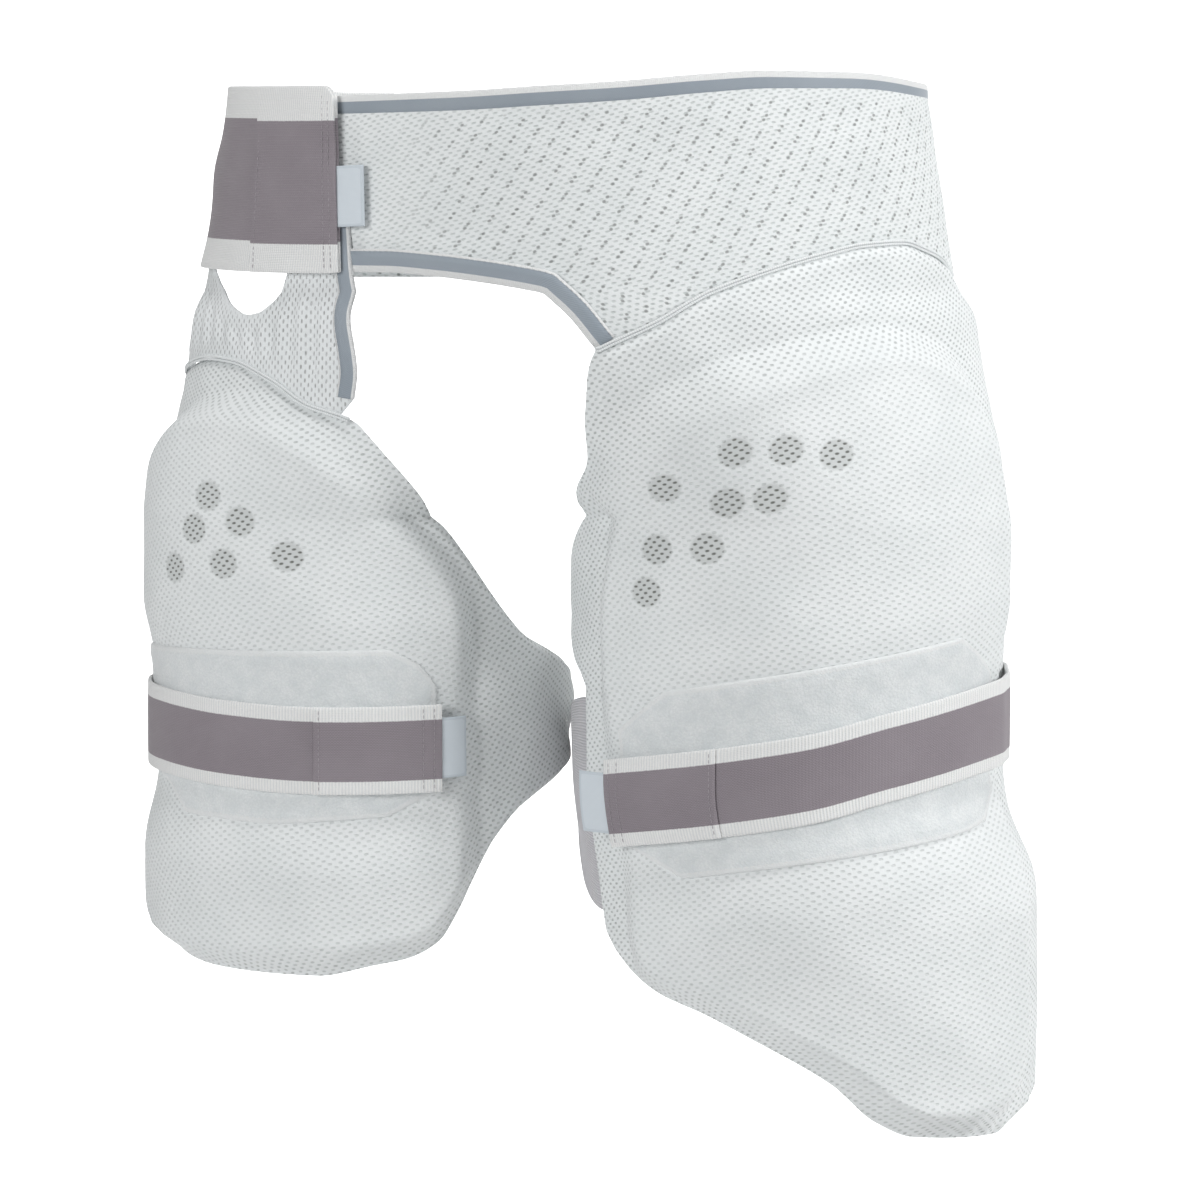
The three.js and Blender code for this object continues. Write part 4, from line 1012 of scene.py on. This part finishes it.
# Loop patches
# Fuzzy pale loop pile with cut corners, sewn on each guard's face under its strap, where the strap's hooks
# take hold.
PATCH_LIFT = 2.2
MAIN_PATCH = [(-36, 0.542, 0.672), (-20, 0.494, 0.702), (54, 0.436, 0.652), (62, 0.455, 0.643), (70, 0.479, 0.612)]
INNER_PATCH = [
    (-76, 0.51, 0.66), (-66, 0.475, 0.675), (-50, 0.473, 0.7), (-40, 0.471, 0.743), (-11, 0.468, 0.75),
    (19, 0.464, 0.735), (27, 0.489, 0.71), (32, 0.525, 0.7),
]


def loop_patch(name, side, corners, face, to_z, seed):
    """A patch whose upper and lower edges run straight between its corners."""
    table = np.array(corners, float)
    turns = lines(table[0, 0], table[-1, 0], 1.1, 1.6)
    upper, lower = (to_z(np.interp(turns, table[:, 0], table[:, k]))[:, None] for k in (1, 2))
    z = mix(upper, lower, lines(0, 1, 0.028, 0.03)[None, :])
    turn = np.broadcast_to(turns[:, None], z.shape)
    across = girth(side, turn, z)
    outline = np.concatenate([table[:, [0, 1]], table[::-1][:, [0, 2]]])
    outline[:, 1] = to_z(outline[:, 1])
    from_edge = np.maximum(inside_by(outline, turn, z), 0)
    base = face(turn, z)[0]
    lift = PATCH_LIFT * (0.55 + 0.45 * ease(from_edge / 4)) * rolled(from_edge, 0.9)
    lift = lift - 0.4 * np.exp(-((from_edge - 2.6) / 0.7) ** 2) + 0.12 * uneven(across, z, 9, seed) * ease(from_edge / 5)
    front = on_body(side, turn, z, base + lift)
    back = on_body(side, turn, z, base - 0.25)
    return between(name, front, back, triple(across, -z), triple(from_edge, 0, 0)), outline


loop_pile, tree, shader, cloth, marks = cloth_material("loop_pile", 1.0, 0.6)
fuzz, given, wanted = shader_group("Loop fuzz", {"Cloth": (0, 0, 0), "Loops": 1.1}, ["Fuzz"])
tufts = put(fuzz, "ShaderNodeTexVoronoi", {"Vector": given["Cloth"], "Scale": given["Loops"], "Randomness": 1.0})
hairs = put(fuzz, "ShaderNodeTexNoise", {"Vector": given["Cloth"], "Scale": 0.9, "Detail": 6.0, "Roughness": 0.75})
fuzz.links.new(
    calc(fuzz, "MULTIPLY_ADD", tufts.outputs["Distance"], -0.6, calc(fuzz, "ADD", hairs.outputs["Fac"], 0.2)),
    wanted["Fuzz"],
)
loops = place(tree, fuzz, {"Cloth": cloth, "Loops": 1.1})["Fuzz"]
patchy = place(tree, yarn, {"Cloth": cloth, "Patches": 0.12})["Patch"]
ground = blend_colours(tree, ramp(tree, patchy, 0.3, 0.7), (0.72, 0.755, 0.765), (0.80, 0.825, 0.83))
tufted = blend_colours(tree, ramp(tree, loops, 0.1, 0.75, 0.5, 0.0), ground, (0.60, 0.635, 0.65))
sewn_edge = ramp(tree, marks["X"], 2.6, 1.8, 0.0, 0.5)
colour = blend_colours(tree, sewn_edge, tufted, (0.80, 0.81, 0.81))
finish_cloth(tree, shader, colour, loops, 0.5, 0.7)


def patch_row(side, outline, face, inset):
    """A row of stitches just inside a patch's outline."""
    middle = outline.mean(axis=0)
    offset = (middle - outline) * [PER_DEGREE, 1]
    corners = outline + np.sign(offset) / [PER_DEGREE, 1] * inset
    closed = np.concatenate([corners, corners[:1]])
    run = np.arange(len(closed))
    fine = np.linspace(0, run[-1], 500)
    turn, z = np.interp(fine, run, closed[:, 0]), np.interp(fine, run, closed[:, 1])
    off = face(turn, z)[0] + PATCH_LIFT * 0.62
    points = on_body(side, turn, z, off)
    return points, on_body(side, turn, z, off + 1) - points


main_patch, main_patch_outline = loop_patch("main_patch_pile", LEFT, MAIN_PATCH, main_face, main_z, 41)
inner_patch, inner_patch_outline = loop_patch("inner_patch_pile", RIGHT, INNER_PATCH, inner_face, inner_z, 43)
fit(main_patch, loop_pile, "loop_pile", "main_loop_patch")
fit(inner_patch, loop_pile, "loop_pile", "inner_loop_patch")
main_patch_threads = fit(
    stitches("main_patch_stitches", [patch_row(LEFT, main_patch_outline, main_face, 2.4)], 2.0, 0.36, 1.0),
    thread_cloth,
    "loop_pile",
)
inner_patch_threads = fit(
    stitches("inner_patch_stitches", [patch_row(RIGHT, inner_patch_outline, inner_face, 2.4)], 2.0, 0.36, 1.0),
    thread_cloth,
    "loop_pile",
)

# Leg straps
# Woven elastic 39 mm wide, mauve grey between white ribbed edges. Each goes round the back of the thigh, lies
# tight over the guard and the patch, and ends in a fold that is stitched across and holds a blank label.
STRAP_BAND = 26
STRAP_FOLD = 32
STRAP_IN = 2.3
STRAP_IN_BESIDE = 0.5
STRAP_THICKNESS = 2.0
BARE_SKIN = 0.6
STRAP_WINDOW = 6
GUSSET_TURN = -98
GUSSET_SAG = 3.4


def carried(height, turns):
    """What lies under a strap at each turn, bridged over hollows and evened out."""
    fine = np.arange(turns[0] - 2 * STRAP_WINDOW, turns[-1] + 2 * STRAP_WINDOW, 0.5)
    raw = np.maximum(height(fine), BARE_SKIN)
    reach = int(STRAP_WINDOW / 0.5)
    spread = np.pad(raw, reach, mode="edge")
    highest = np.max([spread[k : k + len(raw)] for k in range(2 * reach + 1)], axis=0)
    padded = np.pad(highest, reach, mode="edge")
    even = np.mean([padded[k : k + len(raw)] for k in range(2 * reach + 1)], axis=0)
    return np.interp(turns, fine, even)


def raised(face, outline, middle_z, turn):
    """The height of a guard's face under the strap, or nothing beside the guard."""
    spots = [(turn, middle_z(turn) + STRAP_HEIGHT * share) for share in (-0.5, -0.25, 0, 0.25, 0.5)]
    return np.max([np.where(inside_by(outline, t, z) > -1, face(t, z)[0], 0) for t, z in spots], axis=0)


def over_patch(which, turn):
    """How far a strap is held off a guard's face at a turn: by the patch's thickness over the patch."""
    corners = MAIN_PATCH if which == "main" else INNER_PATCH
    share = ease((turn - corners[0][0] + 9) / 7) * ease((corners[-1][0] + 9 - turn) / 7)
    return mix(STRAP_IN_BESIDE, STRAP_IN, share)


def strap_band(name, which, side, start, end, middle_z, under, lift, thickness):
    """A length of strap over what lies under it, lifted off it by the patch and by lift."""
    turns = lines(start, end, 1.0, 1.5)
    across = lines(-0.5, 0.5, 0.045, 0.03)[None, :] * STRAP_HEIGHT
    turn = np.broadcast_to(turns[:, None], (len(turns), across.shape[1]))
    z = middle_z(turn) - across
    place_along = girth(side, turn, z)
    to_end = np.minimum(turn - start, end - turn) * PER_DEGREE
    from_edge = np.minimum(to_end, STRAP_HEIGHT / 2 - np.abs(across))
    curl = 0.25 * np.cos(across / STRAP_HEIGHT * math.pi)
    held_off = over_patch(which, turns)[:, None] + lift
    middle = under(turns)[:, None] + held_off + thickness / 2 + curl + 0.15 * uneven(place_along, z, 30, 51)
    half = thickness / 2 * rolled(np.maximum(from_edge, 0), 0.9)
    return between(
        name,
        on_body(side, turn, z, middle + half),
        on_body(side, turn, z, middle - half),
        triple(place_along, -across),
        triple(from_edge, turn - start, end - turn),
    )


def under_main(turns):
    over_gusset = BARE_SKIN + GUSSET_SAG

    def height(turn):
        return np.where(
            turn > 360 + GUSSET_TURN - STRAP_WINDOW, over_gusset, raised(main_face, main_outline, main_strap_z, turn)
        )

    return carried(height, turns)


def under_inner(turns):
    def height(turn):
        around = np.where(turn < INNER_LEFT, turn + 360, turn)
        lies_on = raised(inner_face, inner_outline, inner_strap_z_round, around)
        return np.where(around > INNER_RIGHT, 0, lies_on)

    return carried(height, turns)


def inner_strap_z_round(around):
    """The strap's height where turns past the wing's crease belong to its far end."""
    return inner_strap_z(np.where(around > INNER_STRAP_END + 12, around - 360, around))


strap_cloth = striped_elastic("strap_cloth", STRAP_BAND, 1.25, 0.0)
strap_parts = [
    ("main", LEFT, MAIN_STRAP_END, MAIN_STRAP_ROOT, MAIN_STRAP_END, MAIN_STRAP_END + STRAP_FOLD, main_strap_z, under_main),
    (
        "inner", RIGHT, INNER_STRAP_ROOT, INNER_STRAP_END, INNER_STRAP_END - STRAP_FOLD, INNER_STRAP_END,
        inner_strap_z, under_inner,
    ),
]
straps = {}
for which, side, start, end, fold_start, fold_end, middle_z, under in strap_parts:
    free_end = fold_start if which == "main" else fold_end
    inward = 1 if which == "main" else -1
    strap = strap_band(f"{which}_strap_cloth", which, side, start, end, middle_z, under, 0, STRAP_THICKNESS)
    fold = strap_band(
        f"{which}_strap_fold_cloth", which, side, fold_start, fold_end, middle_z, under, STRAP_THICKNESS,
        FOLD_THICKNESS,
    )
    off_at = lambda turn: float(under(np.array([turn, turn + 0.5]))[0]) + STRAP_IN + STRAP_THICKNESS + FOLD_THICKNESS + 0.35
    sewn = [free_end + inward * 2.2, free_end + inward * 5.0, free_end + inward * (STRAP_FOLD - 1.4)]
    rows = [
        upright_row(
            side, turn, float(middle_z(turn)) - STRAP_HEIGHT / 2 + 1.5, float(middle_z(turn)) + STRAP_HEIGHT / 2 - 1.5, off_at(turn)
        )
        for turn in sewn
    ]
    threads = stitches(f"{which}_strap_stitches", rows, 1.7, 0.3, 0.9)
    fit(strap, strap_cloth, "striped_elastic", f"{which}_strap")
    fit(fold, strap_cloth, "striped_elastic", f"{which}_strap_fold")
    fit(threads, mauve_thread, "striped_elastic")
    straps[which] = (strap, fold, threads)

# Gusset
# Fine-ribbed mauve elastic from the main guard's inner edge to the root of its strap, drawn in behind the
# thigh and bulging a little between them.
GUSSET_TOP = 0.515
GUSSET_BOTTOM = 0.757
GUSSET_SPREAD = 1.1
GUSSET_SAG_SHARE = 0.4
GUSSET_THICKNESS = 1.8
share = lines(0, 1, 0.012, 0.02)[:, None]
down = lines(0, 1, 0.02, 0.02)[None, :]
guard_share = mix(GUSSET_TOP, GUSSET_BOTTOM, down)
gusset_turn = mix(GUSSET_TURN, along(MAIN_INNER_EDGE, guard_share) + 1.5, share)
narrow = main_strap_z(MAIN_STRAP_ROOT) + STRAP_HEIGHT * (0.5 - down)
gusset_z = mix(narrow, main_z(guard_share), ease(share * GUSSET_SPREAD))
across = girth(LEFT, gusset_turn, gusset_z)
from_gusset_edge = np.minimum(down, 1 - down) * (main_z(GUSSET_TOP) - main_z(GUSSET_BOTTOM)) + 0 * share
bulge = 0.8 * np.sin((gusset_z + 250) / 26) * ease(from_gusset_edge / 12) * ease(share * 4) * ease((1 - share) * 5)
middle = BARE_SKIN + GUSSET_SAG * ease((1 - share) / GUSSET_SAG_SHARE) + GUSSET_THICKNESS / 2 + bulge
half = GUSSET_THICKNESS / 2 * rolled(np.minimum(from_gusset_edge, 99), 0.9)
gusset = between(
    "main_gusset_cloth",
    on_body(LEFT, gusset_turn, gusset_z, middle + half),
    on_body(LEFT, gusset_turn, gusset_z, middle - half),
    triple(across, (down - 0.5) * 96 + 0 * share),
    triple(from_gusset_edge, share * 40, 0),
)
gusset_cloth, tree, shader, cloth, marks = cloth_material("ribbed_gusset", 0.75, 0.2)
flat = put(tree, "ShaderNodeSeparateXYZ", {0: cloth}).outputs
fibres = place(tree, yarn, {"Cloth": cloth, "Fineness": 1.6})
bent = calc(tree, "MULTIPLY_ADD", fibres["Patch"], 3.0, flat["Y"])
long_ribs = place(tree, ribs, {"Place": bent, "Pitch": 1.3, "Sharpness": 0.8})["Rib"]
threads_across = place(tree, ribs, {"Place": flat["X"], "Pitch": 0.7, "Sharpness": 1.0})["Rib"]
ribbed = blend_colours(tree, long_ribs, (0.40, 0.40, 0.42), (0.60, 0.59, 0.62))
faded = blend_colours(tree, ramp(tree, fibres["Patch"], 0.3, 0.75, 0.0, 0.4), ribbed, (0.66, 0.65, 0.67))
height = calc(tree, "MULTIPLY_ADD", threads_across, 0.25, long_ribs)
finish_cloth(tree, shader, faded, height, 0.3)
fit(gusset, gusset_cloth, "ribbed_gusset", "main_gusset")

# Labels
# Three blank pale blue-white woven labels, each a folded loop caught in the stitching of an elastic's end.
TAB_HEIGHT = 27
TAB_WIDTH = 14
TAB_THICKNESS = 1.0


def blank_label(name, side, start, width, middle_z, off, fall, toward, lean=0.0):
    """A label that starts in a fold's end, and falls towards the body, or leaves it, on its way out."""
    share = lines(0, 1, 0.06, 0.05)[:, None]
    across = lines(-0.5, 0.5, 0.05, 0.03)[None, :] * TAB_HEIGHT
    turn = start + toward * width * share + lean * across / ELASTIC_HEIGHT
    z = middle_z - across + 0.5 * share
    to_edge = np.minimum(TAB_HEIGHT / 2 - np.abs(across), (1 - share) * TAB_WIDTH)
    middle = off - fall * share**1.3 + 0.35 * np.sin(share * math.pi) + 0.2 * np.sin(across / 8) * share
    half = TAB_THICKNESS / 2 * rolled(to_edge, 0.6)
    front, back = on_body(side, turn, z, middle + half), on_body(side, turn, z, middle - half)
    if toward < 0:
        front, back = front[::-1], back[::-1]
        share, to_edge = share[::-1], to_edge[::-1]
    return between(name, front, back, triple(share * TAB_WIDTH, -across), triple(to_edge, 0))


label_cloth, tree, shader, cloth, marks = cloth_material("label_cloth", 0.6, 0.2)
flat = put(tree, "ShaderNodeSeparateXYZ", {0: cloth}).outputs
fibres = place(tree, yarn, {"Cloth": cloth, "Fineness": 2.5})
fine_x = place(tree, ribs, {"Place": flat["X"], "Pitch": 0.5, "Sharpness": 1.0})["Rib"]
fine_y = place(tree, ribs, {"Place": flat["Y"], "Pitch": 0.5, "Sharpness": 1.0})["Rib"]
woven = calc(tree, "MULTIPLY", fine_x, fine_y)
ground = blend_colours(tree, woven, (0.60, 0.66, 0.71), (0.74, 0.79, 0.83))
border = calc(tree, "MULTIPLY", ramp(tree, marks["X"], 1.5, 1.1), 0.5)
colour = blend_colours(tree, border, ground, (0.50, 0.56, 0.61))
finish_cloth(tree, shader, colour, calc(tree, "ADD", woven, calc(tree, "MULTIPLY", fibres["Fibre"], 0.4)), 0.1)
tab_degrees = TAB_WIDTH / (math.radians(1) * (RIGHT_THIGH_HALF_WIDTH + 15))
main_off = float(under_main(np.array([MAIN_STRAP_END, MAIN_STRAP_END + 1.0]))[0]) + STRAP_IN + STRAP_THICKNESS
inner_off = float(under_inner(np.array([INNER_STRAP_END - 1.0, INNER_STRAP_END]))[-1]) + STRAP_IN + STRAP_THICKNESS
waist_tab = blank_label("waist_label", LEFT, ELASTIC_FRONT_END - 0.3, 5.4, -8, 7.4, 1.2, 1, ELASTIC_LEAN)
main_tab = blank_label(
    "main_label", LEFT, MAIN_STRAP_END + 0.6, tab_degrees, float(main_strap_z(MAIN_STRAP_END)), main_off, -4.5, -1
)
inner_tab = blank_label(
    "inner_label", RIGHT, INNER_STRAP_END - 0.6, tab_degrees, float(inner_strap_z(INNER_STRAP_END)), inner_off, 2, 1
)
for label, node, rests in (
    (waist_tab, "waist_tab", waist_elastic), (main_tab, "main_tab", straps["main"][0]), (inner_tab, "inner_tab", straps["inner"][0]),
):
    fit(label, label_cloth, "label_cloth", node)

# Studio
# A plain pale floor and backdrop under the hanging set, large soft lights, and the camera at the
# photograph's angle and distance.
FLOOR_Z = -1.05
FLOOR_REACH = 7
WALL_START = 4.5
WALL_BEND = 2.0
WALL_HEIGHT = 5
LOOK_AT = (0.0155, -0.030, -0.190)
CAMERA_TURN, CAMERA_RISE, CAMERA_DISTANCE = 12, 4, 2.2
CAMERA_LENS, CAMERA_SENSOR = 145.2, 36

bend = np.linspace(0, math.pi / 2, 24)
sweep = [(-FLOOR_REACH, FLOOR_Z)]
sweep += [(WALL_START + WALL_BEND * math.sin(a), FLOOR_Z + WALL_BEND * (1 - math.cos(a))) for a in bend]
sweep += [(WALL_START + WALL_BEND, FLOOR_Z + WALL_HEIGHT)]
floor_mesh = bpy.data.meshes.new("studio_floor")
floor_mesh.from_pydata(
    [(x, y, z) for y, z in sweep for x in (-FLOOR_REACH, FLOOR_REACH)],
    [],
    [(2 * i, 2 * i + 1, 2 * i + 3, 2 * i + 2) for i in range(len(sweep) - 1)],
)
floor_mesh.polygons.foreach_set("use_smooth", [True] * len(floor_mesh.polygons))
floor = bpy.data.objects.new("studio_floor", floor_mesh)
bpy.context.scene.collection.objects.link(floor)
floor_paint = bpy.data.materials.new("floor_paint")
floor_paint.use_nodes = True
paint = floor_paint.node_tree.nodes["Principled BSDF"]
paint.inputs["Base Color"].default_value = (0.80, 0.80, 0.80, 1)
paint.inputs["Roughness"].default_value = 0.9
floor_mesh.materials.append(floor_paint)

bpy.context.scene.view_settings.view_transform = "Standard"
world = bpy.data.worlds.new("studio_light")
world.use_nodes = True
world.node_tree.nodes["Background"].inputs["Color"].default_value = (1, 1, 1, 1)
world.node_tree.nodes["Background"].inputs["Strength"].default_value = 0.22
bpy.context.scene.world = world


def soft_light(name, place_at, size, power, aim=LOOK_AT):
    """A square area light that faces the object or another place."""
    light = bpy.data.lights.new(name, "AREA")
    light.size = size
    light.energy = power
    lamp = bpy.data.objects.new(name, light)
    lamp.location = place_at
    toward = Vector(aim) - Vector(place_at)
    lamp.rotation_euler = toward.to_track_quat("-Z", "Y").to_euler()
    bpy.context.scene.collection.objects.link(lamp)


soft_light("side_light", (2.2, -0.2, 0.5), 0.8, 34)
soft_light("front_light", (-1.07, -2.33, 0.35), 1.2, 30)
soft_light("top_light", (0.2, -0.5, 2.2), 1.0, 24)
soft_light("wall_light", (-0.6, 3.4, 2.6), 2.0, 330, (-1.2, 6.3, -0.5))

azimuth, rise = math.radians(CAMERA_TURN), math.radians(CAMERA_RISE)
back = Vector((math.sin(azimuth) * math.cos(rise), -math.cos(azimuth) * math.cos(rise), math.sin(rise)))
camera_data = bpy.data.cameras.new("photo_camera")
camera_data.lens = CAMERA_LENS
camera_data.sensor_width = CAMERA_SENSOR
camera = bpy.data.objects.new("photo_camera", camera_data)
camera.location = Vector(LOOK_AT) + back * CAMERA_DISTANCE
camera.rotation_euler = (-back).to_track_quat("-Z", "Y").to_euler()
bpy.context.scene.collection.objects.link(camera)
bpy.context.scene.camera = camera
